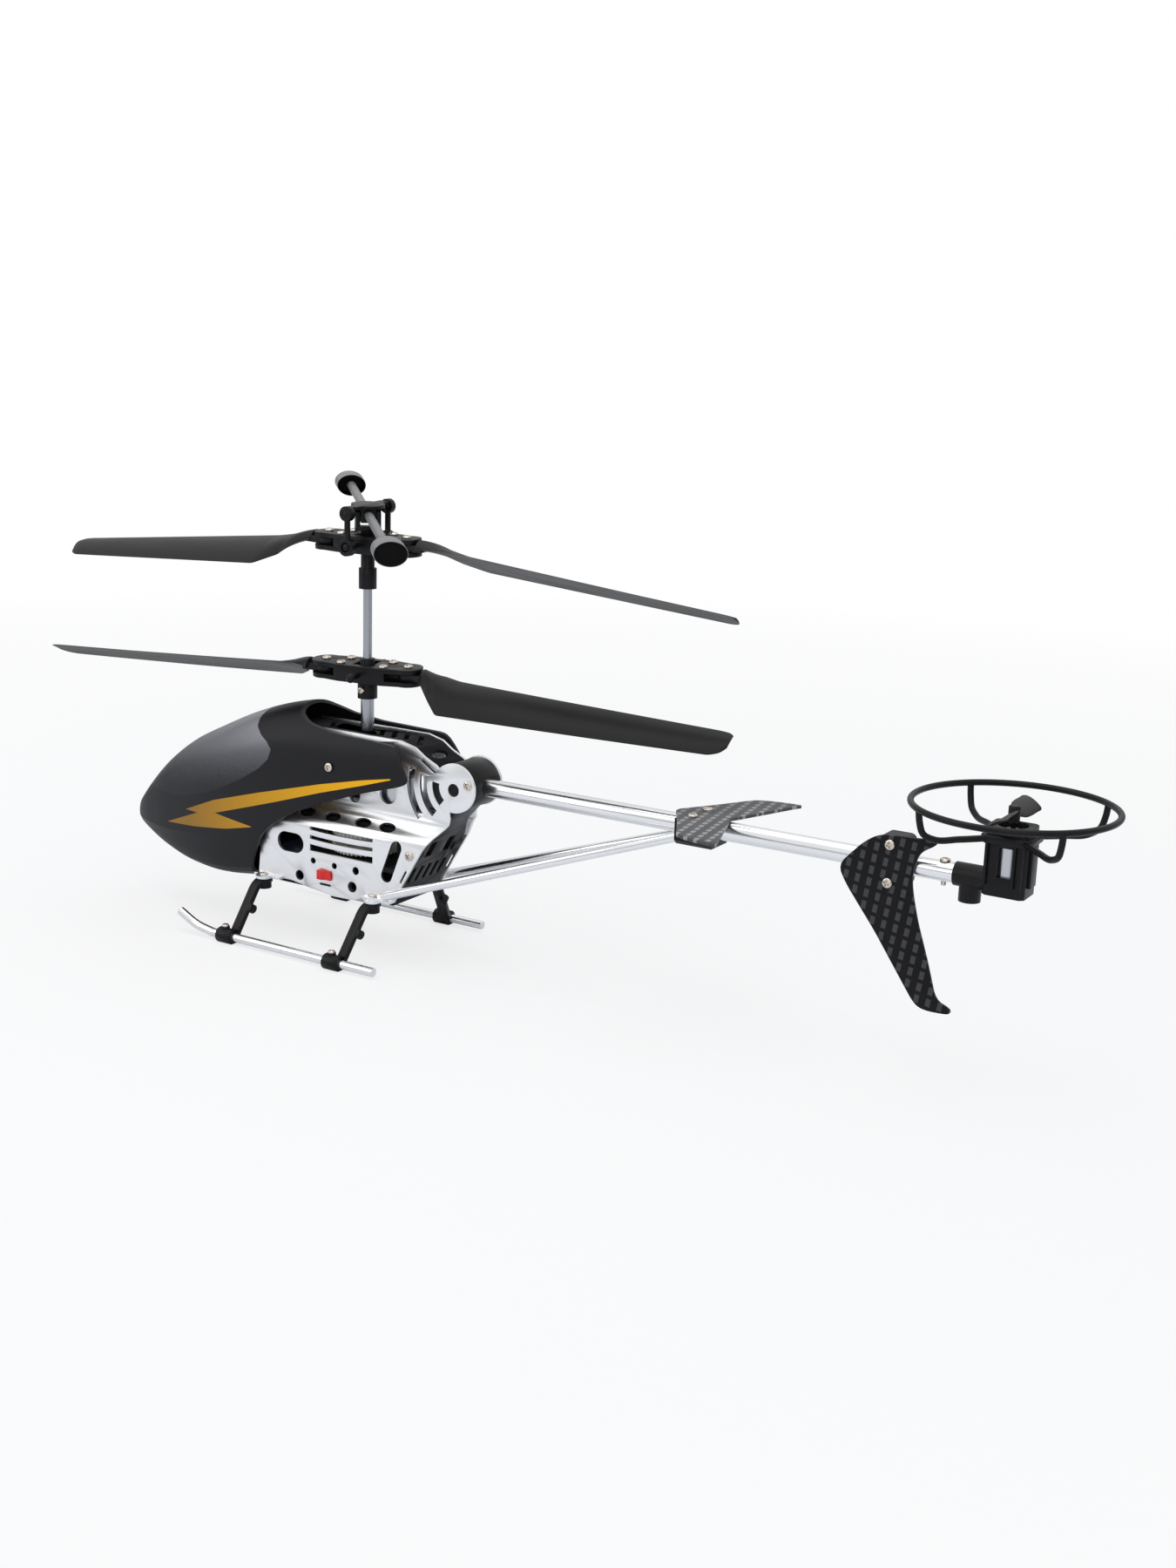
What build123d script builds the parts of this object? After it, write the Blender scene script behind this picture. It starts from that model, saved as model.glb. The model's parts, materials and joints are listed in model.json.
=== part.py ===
from build123d import *
from math import asin, atan2, cos, degrees, hypot, radians, sin, tan
import os

# Coaxial remote control helicopter, millimetres.
# Working frame: main shaft on x = 0, y = 0, floor at z = 0, nose towards +X, left side towards +Y.
# Every node is moved along X at export so that the whole craft is centred over the origin.

os.makedirs("parts", exist_ok=True)

# --- Fits -----------------------------------------------------------------------------------
RUN = 0.05                  # radial play of a turning shaft
SLIP = 0.03                 # radial play of a clamped tube

# --- Side plates of the body ----------------------------------------------------------------
SHEET = 1.0                 # sheet thickness
WALL_Y = 8.2                # outer face of the narrow upper wall
PANEL_Y = 13.6              # outer face of the wide lower panel
BEND_TOP = 48.8             # height of the upper bend
BEND_LOW = 42.8             # height of the lower bend
DECK_Z = 75.5               # top edge of the side plates
ROUND_X = -42.2             # centre of the rounded rear end
ROUND_R = 8.3
LUG_Z = 20.8                # underside of the leg lugs
LUG_Y = 16.6                # leg screw distance from the centre plane
LUG_FRONT_X = 32.4
LUG_REAR_X = -15.4
LUG_R = 2.9
TRAY_Z = 21.0               # top of the belly tray
TRAY_T = 1.6

# --- Boom, struts and tail ------------------------------------------------------------------
BOOM_Z = 62.6
BOOM_R = 3.0
BOOM_BORE = 2.5
BOOM_FRONT = -36.0
BOOM_REAR = -212.3
CLAMP_R = 8.0
STAB_X = -129.5             # stabilizer screws
STAB_T = 1.0
FIN_X = -194.0              # fin screws
FIN_Y = 4.2
FIN_T = 1.2
STRUT_R = 1.5
STRUT_END = (-124.6, 4.3, 59.5)
TAIL_X = -227.8             # tail rotor axis
TAIL_TOP = 79.4             # top of the tail motor housing
TAIL_HALF_X = 6.2
TAIL_HALF_Y = 5.2
RING_R = 28.7
RING_TUBE = 0.95
RING_Z = 84.6
PROP_R = 16.5

# --- Landing gear ---------------------------------------------------------------------------
SKID_Y = 31.3
SKID_R = 1.5
SKID_Z = 2.4
FOOT_R = 2.7
FOOT_LEN = 6.2
FOOT_FRONT_X = 36.7
FOOT_REAR_X = -10.4
LEG_W = 3.7
LEG_T = 1.6
FOOT_STEP = 1.8             # how far behind the sleeve's middle a leg lands
FOOT_SCREW = 0.6            # and how far ahead of it the screw stands

# --- Drive ----------------------------------------------------------------------------------
INNER_R = 1.5               # inner shaft
OUTER_R = 2.25              # outer shaft
MODULE = 0.5
GEAR_TEETH = 46
PINION_TEETH = 9
GEAR_W = 2.0
GEAR_CENTRES = MODULE * (GEAR_TEETH + PINION_TEETH) / 2
OUTER_GEAR_Z = 39.5
INNER_GEAR_Z = 33.5
MOTOR_R = 6.0
MOTOR_FLOOR = 45.0
MOTOR_H = 17.0
GEARBOX_Z = 30.6            # underside of the lower bearing plate
GEARBOX_T = 1.8

# --- Rotors ---------------------------------------------------------------------------------
ROTOR_R = 137.8
PIVOT_R = 16.0              # blade pivot radius
HUB_END = 21.0
HUB_W = 12.0
FORK_GAP = 1.4              # half the gap between the hub plates
HUB_PLATE = 1.5
STUD_R = 11.0               # ball stud radius from the shaft
BALL_R = 1.5
LOWER_Z = 95.6
LOWER_AZ = 7.2
LOWER_ROLL = -5.0
LOWER_KNEE = 36.0           # radius of a blade's widest place
LOWER_DROOP = (5.3, 3.2)    # front and rear blade at rest
LOWER_LAG = (-1.6, -6.7)
LOWER_PITCH = (27.9, 31.1)  # at the knee and at the tip
UPPER_Z = 138.9
UPPER_AZ = 0.9
UPPER_KNEE = 39.5
UPPER_DROOP = (11.1, 10.8)
UPPER_LAG = (-2.1, -1.6)
UPPER_PITCH = (26.7, 27.4)
FLY_Z = 148.5
FLY_AZ = 134.0
FLY_TILT = 4.4
FLY_HALF = 69.0
FLY_ROD_R = 1.5
LINK_UP = 1.4               # link ball height above the flybar pivot
LINK_PLAY = 0.5             # play in the lower link eye
UPPER_ROLL = -degrees(asin(sin(radians(FLY_TILT)) * cos(radians(FLY_AZ - 90 - UPPER_AZ))))

# --- Screws ---------------------------------------------------------------------------------
HEAD_R = 1.6
HEAD_H = 0.9
SHANK_R = 0.75

# --- Canopy ---------------------------------------------------------------------------------
SHELL = 1.2
CANOPY_SCREW = (2.7, 64.8)
# Stations from rear to nose: x, half width, roof, crease height, belly height.
CANOPY = [
    (-30.0, 17.2, 84.0, 40.0, 18.0),
    (0.0, 17.6, 83.6, 40.0, 18.0),
    (24.0, 17.6, 82.6, 38.5, 17.5),
    (42.0, 17.0, 77.8, 35.5, 16.5),
    (62.0, 15.2, 69.2, 31.5, 14.6),
    (78.0, 12.4, 60.8, 29.0, 16.6),
    (91.0, 9.4, 50.4, 28.6, 20.8),
    (101.0, 6.0, 39.6, 29.0, 25.2),
    (107.4, 2.6, 31.6, 29.6, 28.0),
]


# --- Helpers --------------------------------------------------------------------------------
def block(x0, x1, y0, y1, z0, z1):
    """Box between two corners."""
    return Pos((x0 + x1) / 2, (y0 + y1) / 2, (z0 + z1) / 2) * Box(x1 - x0, y1 - y0, z1 - z0)


def bar(start, end, radius):
    """Round bar between two points."""
    a, b = Vector(*start), Vector(*end)
    return Plane(origin=(a + b) / 2, z_dir=b - a) * Cylinder(radius, (b - a).length)


def upright(x, y, z0, z1, radius):
    """Vertical cylinder."""
    return bar((x, y, z0), (x, y, z1), radius)


def side_prism(points, y0, y1):
    """Prism of an XZ outline between two Y planes."""
    face = make_face(Polyline(*[(x, y0, z) for x, z in points], close=True))
    return extrude(face, amount=y1 - y0, dir=(0, 1, 0))


def plan_prism(points, z0, z1):
    """Prism of an XY outline between two heights."""
    face = make_face(Polyline(*[(x, y, z0) for x, y in points], close=True))
    return extrude(face, amount=z1 - z0, dir=(0, 0, 1))


def along(points, radius):
    """Round wire swept smoothly through points."""
    path = Spline(*points)
    start = Plane(origin=path @ 0, z_dir=path % 0)
    return sweep(start * Circle(radius), path=path)


def slot_y(x0, z0, x1, z1, width):
    """Straight slot cutter along Y between two end centres."""
    angle = -degrees(atan2(z1 - z0, x1 - x0))
    length = hypot(x1 - x0, z1 - z0)
    middle = Pos((x0 + x1) / 2, 0, (z0 + z1) / 2) * Rot(0, angle, 0)
    body = middle * Box(length, 60, width)
    return body + bar((x0, -30, z0), (x0, 30, z0), width / 2) + bar((x1, -30, z1), (x1, 30, z1), width / 2)


def hole_y(x, z, radius):
    """Round hole cutter along Y."""
    return bar((x, -30, z), (x, 30, z), radius)


def softened(points, rounds=2, reach=1.6):
    """Outline with its corners cut back, twice; reach is the longest cut."""
    for _ in range(rounds):
        cut = []
        for (x0, y0), (x1, y1) in zip(points, points[1:] + points[:1]):
            share = min(0.25, reach / hypot(x1 - x0, y1 - y0))
            cut.append((x0 + (x1 - x0) * share, y0 + (y1 - y0) * share))
            cut.append((x1 + (x0 - x1) * share, y1 + (y0 - y1) * share))
        points = cut
        reach /= 2
    return points


def screw(head_base, direction, length, head=HEAD_R):
    """Pan head screw: head stands on head_base, shank runs the other way."""
    base = Vector(*head_base)
    out = Vector(*direction).normalized()
    cap = Plane(origin=base + out * (HEAD_H / 2), z_dir=out) * Cylinder(head, HEAD_H)
    cap = chamfer(cap.faces().sort_by(Axis(head_base, direction))[-1].edges(), 0.3)
    shank = Plane(origin=base - out * (length / 2), z_dir=out) * Cylinder(SHANK_R, length)
    return cap + shank


def screw_hole(head_base, direction, length):
    """Hole for the shank of a screw, with play."""
    base = Vector(*head_base)
    out = Vector(*direction).normalized()
    return Plane(origin=base - out * (length / 2), z_dir=out) * Cylinder(SHANK_R + RUN, length + 0.4)


def port(shape):
    """Mirror a left hand shape to the right hand side."""
    return mirror(shape, about=Plane.XZ)


def gear(teeth, width, bore, mesh_turn=0.0):
    """Spur gear with straight flanked teeth, lying on z = 0."""
    pitch = MODULE * teeth / 2
    root, tip = pitch - 1.2 * MODULE, pitch + 0.9 * MODULE
    step = 360 / teeth
    outline = []
    for i in range(teeth):
        base = i * step + mesh_turn
        for radius, turn in ((root, -0.31), (tip, -0.12), (tip, 0.12), (root, 0.31)):
            angle = radians(base + turn * step)
            outline.append((radius * cos(angle), radius * sin(angle)))
    wheel = plan_prism(outline, 0, width)
    return wheel - upright(0, 0, -1, width + 1, bore)


# --- Side plates ----------------------------------------------------------------------------
bend_angle = atan2(PANEL_Y - WALL_Y, BEND_TOP - BEND_LOW)
bend_shift = SHEET * tan(bend_angle / 2)
outer_line = [(WALL_Y, 90), (WALL_Y, BEND_TOP), (PANEL_Y, BEND_LOW), (PANEL_Y, 10)]
inner_line = [
    (PANEL_Y - SHEET, 10),
    (PANEL_Y - SHEET, BEND_LOW - bend_shift),
    (WALL_Y - SHEET, BEND_TOP - bend_shift),
    (WALL_Y - SHEET, 90),
]
X_FRONT, X_REAR = 60.0, -60.0


def section_prism(points):
    """Prism of a YZ outline along the whole body."""
    face = make_face(Polyline(*[(X_REAR, y, z) for y, z in points], close=True))
    return extrude(face, amount=X_FRONT - X_REAR, dir=(1, 0, 0))


inner_half = section_prism(inner_line + [(0, 90), (0, 10)])
inner_space = inner_half + port(inner_half)

plate_outline = [
    (26.0, DECK_Z), (-20.4, DECK_Z), (-26.4, 74.0), (-30.3, 71.4), (-35.0, 69.2),
    (ROUND_X, BOOM_Z), (-40.2, 49.4), (-35.6, 44.2), (-33.4, 41.0), (-25.2, 27.3), (-22.0, LUG_Z),
    (-8.0, 20.0), (-5.0, 18.6), (5.0, 18.4), (16.0, 19.8), (22.0, LUG_Z), (37.5, LUG_Z),
    (36.6, 30.4), (41.0, 35.6), (43.5, 42.0), (43.5, 52.0), (38.0, 66.0),
]
side_shape = side_prism(plate_outline, 0, 20) + bar((ROUND_X, 0, BOOM_Z), (ROUND_X, 20, BOOM_Z), ROUND_R)
sheet = section_prism(outer_line + inner_line) & side_shape

# Leg lugs turned outwards at the foot of each plate.
for lug_x in (LUG_FRONT_X, LUG_REAR_X):
    sheet += block(lug_x - 6.5, lug_x + 5.0, PANEL_Y - SHEET, LUG_Y - 0.4, LUG_Z, LUG_Z + SHEET)
    sheet += upright(lug_x, LUG_Y, LUG_Z, LUG_Z + SHEET, LUG_R)

# Three concentric arc slots and a round hole about the boom clamp.
for radius, low, high in ((17.6, -42.0, 15.0), (12.3, -52.0, 14.0), (7.2, -50.0, 8.0)):
    outer = bar((ROUND_X, -30, BOOM_Z), (ROUND_X, 30, BOOM_Z), radius + 1.4)
    ring = outer - bar((ROUND_X, -31, BOOM_Z), (ROUND_X, 31, BOOM_Z), radius - 1.4)
    reach = 40
    wedge = [
        (ROUND_X, BOOM_Z),
        (ROUND_X + reach * cos(radians(low)), BOOM_Z + reach * sin(radians(low))),
        (ROUND_X + reach, BOOM_Z),
        (ROUND_X + reach * cos(radians(high)), BOOM_Z + reach * sin(radians(high))),
    ]
    sheet -= ring & side_prism(wedge, 0, 20)
sheet -= hole_y(ROUND_X, BOOM_Z - 0.6, 2.2)
sheet -= slot_y(-29.4, 70.2, -34.6, 67.0, 0.8)
sheet -= slot_y(-10.0, 73.4, -15.5, 73.2, 0.7)

# Motor windows in the upper wall.
sheet -= slot_y(-1.0, 53.8, -1.0, 56.4, 4.8)
sheet -= slot_y(-15.2, 56.6, -15.2, 59.0, 7.0)

# Oval holes across the sloping shelf.
shelf_y = (WALL_Y + PANEL_Y) / 2
shelf_z = (BEND_TOP + BEND_LOW) / 2
for x in (17.6, 6.4, -6.8, -17.2):
    cutter = Rot(degrees(bend_angle) - 90, 0, 0) * extrude(Ellipse(3.4, 1.9), amount=6, both=True)
    sheet -= Pos(x, shelf_y, shelf_z) * cutter

# Louvre with two bars bowed outwards.
LOUVRE = (-13.0, 14.2, 33.0, 41.6)
middle_x = (LOUVRE[0] + LOUVRE[1]) / 2
sheet -= block(LOUVRE[0], LOUVRE[1], PANEL_Y - 3, PANEL_Y + 3, LOUVRE[2], LOUVRE[3])
for z in (35.4, 38.6):
    arc_out = ThreePointArc(
        (LOUVRE[0] - 0.5, PANEL_Y, z), (middle_x, PANEL_Y + 1.2, z), (LOUVRE[1] + 0.5, PANEL_Y, z)
    )
    arc_in = ThreePointArc(
        (LOUVRE[1] + 0.5, PANEL_Y - SHEET, z), (middle_x, PANEL_Y + 0.2, z),
        (LOUVRE[0] - 0.5, PANEL_Y - SHEET, z),
    )
    closing = [Line(arc_out @ 1, arc_in @ 0), Line(arc_in @ 1, arc_out @ 0)]
    sheet += extrude(make_face([arc_out, arc_in] + closing), amount=1.9, dir=(0, 0, 1))

# Lower panel holes and slots.
SWITCH = (7.6, 25.4)
SOCKET = (-4.3, 23.2)
sheet -= slot_y(20.6, 34.5, 25.2, 34.5, 7.0)
for x, z, radius in ((12.8, 29.6, 1.1), (3.5, 29.3, 1.1), (-5.8, 29.2, 1.4), (18.9, 23.3, 1.8)):
    sheet -= hole_y(x, z, radius)
sheet -= slot_y(-22.9, 40.2, -18.9, 29.8, 4.5)
sheet -= slot_y(-27.0, 32.6, -24.8, 28.6, 0.8)
sheet -= slot_y(5.4, 21.9, 9.6, 21.9, 0.8)

FRAME_SCREWS = [(-48.0, 64.4, WALL_Y, 4.8), (-28.4, 38.3, PANEL_Y, 5.0)]
for x, z, face_y, length in FRAME_SCREWS:
    sheet -= screw_hole((x, face_y, z), (0, 1, 0), length)
sheet -= screw_hole((CANOPY_SCREW[0], WALL_Y, CANOPY_SCREW[1]), (0, 1, 0), 4)
for lug_x in (LUG_FRONT_X, LUG_REAR_X):
    sheet -= screw_hole((lug_x, LUG_Y, LUG_Z + SHEET), (0, 0, 1), 2)

plate_right = port(sheet)
plate_left = sheet - block(SWITCH[0] - 2.3, SWITCH[0] + 2.3, 10, 20, SWITCH[1] - 1.2, SWITCH[1] + 1.2)
plate_left -= bar((SOCKET[0], 10, SOCKET[1]), (SOCKET[0], 20, SOCKET[1]), 1.9)

# --- Deck, boom clamp, rear cover, tray -----------------------------------------------------
wall_in = WALL_Y - SHEET
panel_in = PANEL_Y - SHEET
DECK_T = 1.4
deck_line = [(27.0, 75.1), (-20.6, 75.1), (-26.8, 73.5), (-30.8, 70.9), (-35.4, 68.8)]
deck_low = [(x, z - DECK_T) for x, z in reversed(deck_line)]
deck = side_prism(deck_line + deck_low, -wall_in, wall_in)
deck += upright(0, 0, 68.6, 74.0, 4.6)
deck -= upright(0, 0, 60, 80, OUTER_R + RUN)
for x in (15.0, 10.4, -6.4, -11.6, -16.8, -22.6):
    cutter = Pos(x, 0, 74) * Rot(0, 0, 32) * Box(1.8, 9.0, 6)
    deck -= cutter
deck -= Pos(-30.6, 0, 71) * Rot(0, -38, 0) * extrude(Ellipse(1.9, 4.0), amount=4, both=True)

clamp = bar((ROUND_X, -wall_in, BOOM_Z), (ROUND_X, wall_in, BOOM_Z), CLAMP_R)
clamp += block(ROUND_X, -33.4, -wall_in, wall_in, 56.0, 67.2)
clamp -= bar((BOOM_FRONT, 0, BOOM_Z), (-60, 0, BOOM_Z), BOOM_R + SLIP)

cover_line = [(-42.6, 54.2), (-38.8, 50.2), (-34.6, 45.2), (-32.4, 41.6), (-24.2, 27.6), (-21.4, TRAY_Z)]
cover_in = [(-19.8, TRAY_Z), (-22.6, 28.4), (-30.8, 42.4), (-33.0, 46.0), (-37.4, 51.2), (-40.6, 54.2)]
cover = side_prism(cover_line + cover_in, -panel_in, panel_in) & inner_space
for y in (-8.4, -4.2, 0.0, 4.2, 8.4):
    cover -= Pos(-24.8, y, 31.0) * Rot(0, 30, 0) * Box(6, 1.6, 6.5)
for y in (-5.0, 5.0):
    cover -= Pos(-30.4, y, 40.0) * Rot(0, 30, 0) * Box(6, 3.4, 5.0)
for side in (-1, 1):
    ear = bar((-28.4, side * 8.6, 38.3), (-28.4, side * panel_in, 38.3), 2.6)
    cover += ear
    cover -= screw_hole((-28.4, side * PANEL_Y, 38.3), (0, side, 0), 5.0)
for side in (-1, 1):
    clamp -= screw_hole((-48.0, side * WALL_Y, 64.4), (0, side, 0), 4.6)

tray = block(-21.2, 37.0, -panel_in, panel_in, TRAY_Z - TRAY_T, TRAY_Z)
tray += block(0.4, 6.8, 6.0, 11.6, TRAY_Z - TRAY_T - 2.6, TRAY_Z - TRAY_T)

# --- Gearbox, motors, electrics -------------------------------------------------------------
plate_half = 8.4
gearbox = block(-21.5, 21.5, -plate_half, plate_half, MOTOR_FLOOR - GEARBOX_T, MOTOR_FLOOR)
gearbox += block(-22.0, 22.0, -panel_in, panel_in, GEARBOX_Z, GEARBOX_Z + GEARBOX_T)
for x in (-20.4, 20.4):
    for y in (-6.4, 6.4):
        gearbox += block(x - 1.1, x + 1.1, y - 2, y + 2, GEARBOX_Z, MOTOR_FLOOR)
for x in (-17.4, 17.4):
    for y in (-6.4, 6.4):
        gearbox += block(x - 1.1, x + 1.1, y - 2, y + 2, TRAY_Z, GEARBOX_Z)
gearbox += upright(0, 0, GEARBOX_Z - 3, GEARBOX_Z, 4.0)
gearbox -= upright(0, 0, MOTOR_FLOOR - 4, MOTOR_FLOOR + 1, OUTER_R + RUN)
gearbox -= upright(0, 0, GEARBOX_Z - 4, GEARBOX_Z + 4, INNER_R + RUN)
for x in (-GEAR_CENTRES, GEAR_CENTRES):
    gearbox -= upright(x, 0, MOTOR_FLOOR - 4, MOTOR_FLOOR + 1, 2.0)

MOTOR_SHAFT_R = 0.75
motor_can = upright(0, 0, MOTOR_FLOOR, MOTOR_FLOOR + MOTOR_H, MOTOR_R)
motor_can = chamfer(motor_can.faces().sort_by(Axis.Z)[-1].edges(), 0.8)
motor_can += upright(0, 0, MOTOR_FLOOR + MOTOR_H, MOTOR_FLOOR + MOTOR_H + 1.2, 2.4)
motor_can -= upright(0, 0, MOTOR_FLOOR - 1, MOTOR_FLOOR + 6, MOTOR_SHAFT_R + RUN)
motor_rear = Pos(-GEAR_CENTRES, 0, 0) * motor_can
motor_front = Pos(GEAR_CENTRES, 0, 0) * motor_can

battery = block(23.0, 36.0, -10.0, 10.0, TRAY_Z, 30.0)
battery = fillet(battery.edges().filter_by(Axis.Y), 1.6)
board = block(24.0, 37.0, -wall_in, wall_in, 52.0, 53.4)
board += block(27.0, 32.0, -3.0, 3.0, 53.4, 54.8)

SOCKET_BORE = 1.25
SOCKET_DEPTH = 5.0
socket = block(SOCKET[0] - 3.0, SOCKET[0] + 3.0, 5.4, panel_in, TRAY_Z, SOCKET[1] + 2.6)
socket -= bar((SOCKET[0], panel_in - SOCKET_DEPTH, SOCKET[1]), (SOCKET[0], 20, SOCKET[1]), SOCKET_BORE)

switch_body = block(SWITCH[0] - 4.2, SWITCH[0] + 4.2, 7.6, panel_in, TRAY_Z, SWITCH[1] + 2.4)
switch_body -= block(SWITCH[0] - 2.4, SWITCH[0] + 2.4, 10.4, 20, SWITCH[1] - 1.3, SWITCH[1] + 1.3)
KNOB_Y = PANEL_Y + 0.1
knob = block(SWITCH[0] - 1.2, SWITCH[0] + 1.2, 10.6, KNOB_Y, SWITCH[1] - 1.1, SWITCH[1] + 1.1)
knob_cap = block(SWITCH[0] - 2.8, SWITCH[0] + 2.8, KNOB_Y, KNOB_Y + 1.3, SWITCH[1] - 1.7, SWITCH[1] + 1.7)
knob += fillet(knob_cap.edges().filter_by(Axis.Y), 1.4)

# --- Canopy ---------------------------------------------------------------------------------


def canopy_section(x, half, roof, crease, belly):
    """Closed section: round roof, near vertical sides, tucked belly."""
    rise = roof - crease
    right = [
        (half * 0.50, roof - rise * 0.05),
        (half * 0.86, roof - rise * 0.22),
        (half * 0.98, roof - rise * 0.48),
    ]
    upper = [(x, half * 0.98, crease)]
    upper += [(x, y, z) for y, z in reversed(right)]
    upper += [(x, 0, roof)]
    upper += [(x, -y, z) for y, z in right]
    upper += [(x, -half * 0.98, crease)]
    top = Spline(*upper)
    tuck = belly + (crease - belly) * 0.18
    low = Polyline(upper[-1], (x, -half * 0.66, tuck), (x, 0, belly), (x, half * 0.66, tuck), upper[0])
    return make_face([top] + low.edges())


def canopy_loft(inset):
    sections = []
    for x, half, roof, crease, belly in CANOPY:
        lower = belly + inset if belly + inset < crease - 0.2 else crease - 0.2
        width = max(half - inset, 0.9)
        sections.append(canopy_section(x - inset * (x > 90), width, roof - inset, crease, lower))
    return loft(sections, ruled=True)


canopy_side = [
    (-22.8, 75.0), (4.0, 75.9), (15.5, 77.6), (22.4, 80.6), (26.0, 90.0), (115.0, 90.0), (115.0, 5.0),
    (46.0, 5.0), (42.2, 21.2), (34.0, 35.6), (28.2, 40.8), (18.9, 46.4), (3.0, 52.8), (-12.9, 58.4),
    (-25.6, 62.0), (-28.6, 63.2), (-28.8, 65.6), (-26.9, 68.6),
]
canopy_outer = canopy_loft(0)
canopy = (canopy_outer - canopy_loft(SHELL)) & side_prism(canopy_side, -30, 30)
for side in (-1, 1):
    screw_x, screw_z = CANOPY_SCREW
    boss = bar((screw_x, side * WALL_Y, screw_z), (screw_x, side * 16.6, screw_z), 2.3)
    canopy += boss & canopy_outer
CANOPY_FACE = 17.3          # canopy surface at its screws
for side in (-1, 1):
    canopy -= screw_hole((CANOPY_SCREW[0], side * CANOPY_FACE, CANOPY_SCREW[1]), (0, side, 0), 12)

# --- Legs and skids -------------------------------------------------------------------------


def leg(top_x, foot_x):
    """Strip with a bent shoulder at the lug, then straight down to a sleeve on the skid."""
    toe_x = foot_x - FOOT_STEP
    swing = degrees(atan2(toe_x - top_x, SKID_Y - LUG_Y))
    run = hypot(toe_x - top_x, SKID_Y - LUG_Y)
    outside = [(0, -2.2, LUG_Z), (0, 2.8, LUG_Z - 0.6), (0, 5.2, LUG_Z - 2.8)]
    inside = [(0, -2.2, LUG_Z - LEG_T), (0, 2.1, LUG_Z - LEG_T - 0.5), (0, 3.9, LUG_Z - LEG_T - 2.1)]
    toe = (0, run - 0.9, SKID_Z + 0.8)
    heel = (0, run - 2.3, SKID_Z)
    bends = [Spline(*outside), Spline(*inside)]
    outline = bends + [Line(bends[0] @ 1, toe), Line(toe, heel), Line(heel, bends[1] @ 1),
                       Line(bends[1] @ 0, bends[0] @ 0)]
    strip = extrude(make_face(outline), amount=LEG_W / 2, dir=(1, 0, 0), both=True)
    strip += bar((-1.6, 8.6, 12.2), (-1.6, 6.2, 10.7), 1.6)
    strip = Pos(top_x, LUG_Y, 0) * Rot(0, 0, -swing) * strip
    strip -= block(top_x - 10, top_x + 10, 0, LUG_Y + 8, LUG_Z, LUG_Z + 5)
    strip += upright(top_x, LUG_Y, LUG_Z - 3.6, LUG_Z, 2.5)
    foot = bar((foot_x - FOOT_LEN / 2, SKID_Y, SKID_Z), (foot_x + FOOT_LEN / 2, SKID_Y, SKID_Z), FOOT_R)
    foot += upright(foot_x + FOOT_SCREW, SKID_Y, SKID_Z, SKID_Z + FOOT_R + 0.6, 1.5)
    strip += foot
    strip -= bar((foot_x - 10, SKID_Y, SKID_Z), (foot_x + 10, SKID_Y, SKID_Z), SKID_R + SLIP)
    strip -= block(foot_x - 10, foot_x + 10, SKID_Y - 5, SKID_Y + 5, -3, 0)
    strip -= upright(foot_x + FOOT_SCREW, SKID_Y, SKID_Z, SKID_Z + FOOT_R + 2, SHANK_R + RUN)
    strip -= upright(top_x, LUG_Y, LUG_Z - 3.0, 40, SHANK_R + RUN)
    return strip


leg_fl = leg(LUG_FRONT_X, FOOT_FRONT_X)
leg_rl = leg(LUG_REAR_X, FOOT_REAR_X)
skid_path = [Line((-27.6, SKID_Y, SKID_Z), (43.0, SKID_Y, SKID_Z))]
skid_path.append(Spline(skid_path[0] @ 1, (50.5, SKID_Y, SKID_Z + 1.4), (58.4, SKID_Y, SKID_Z + 5.0),
                        tangents=((1, 0, 0), (0.88, 0, 0.48))))
skid = sweep(Plane(origin=(-27.6, SKID_Y, SKID_Z), z_dir=(1, 0, 0)) * Circle(SKID_R), path=Wire(skid_path))

leg_screws = []
for side in (-1, 1):
    leg_screws.append(screw((LUG_FRONT_X, side * LUG_Y, LUG_Z + SHEET), (0, 0, 1), 3.8))
    leg_screws.append(screw((LUG_REAR_X, side * LUG_Y, LUG_Z + 2 * SHEET), (0, 0, 1), 4.8))
    for foot_x in (FOOT_FRONT_X, FOOT_REAR_X):
        head = (foot_x + FOOT_SCREW, side * SKID_Y, SKID_Z + FOOT_R + 0.6)
        leg_screws.append(screw(head, (0, 0, 1), 1.7, 1.3))

# --- Tail boom, struts, stabilizer, fin -----------------------------------------------------
BOOM_SCREW_X = -208.9
boom = bar((BOOM_FRONT, 0, BOOM_Z), (BOOM_REAR, 0, BOOM_Z), BOOM_R)
boom -= bar((BOOM_FRONT + 1, 0, BOOM_Z), (BOOM_REAR - 1, 0, BOOM_Z), BOOM_BORE)
boom -= upright(BOOM_SCREW_X, 0, 50, 75, SHANK_R + RUN)

tab_z = LUG_Z + SHEET
strut_tip = (LUG_REAR_X - 4.0, LUG_Y - 0.3, tab_z + STRUT_R - 0.1)
strut = bar(strut_tip, STRUT_END, STRUT_R)
strut += block(LUG_REAR_X - 5.4, LUG_REAR_X, LUG_Y - 1.7, LUG_Y + 1.3, tab_z, tab_z + SHEET)
strut += upright(LUG_REAR_X, LUG_Y, tab_z, tab_z + SHEET, LUG_R - 0.4)
strut -= upright(LUG_REAR_X, LUG_Y, tab_z - 5, tab_z + 5, SHANK_R + RUN)
strut -= block(LUG_REAR_X - 8, LUG_REAR_X + 5, 0, 30, tab_z - 3, tab_z)

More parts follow.
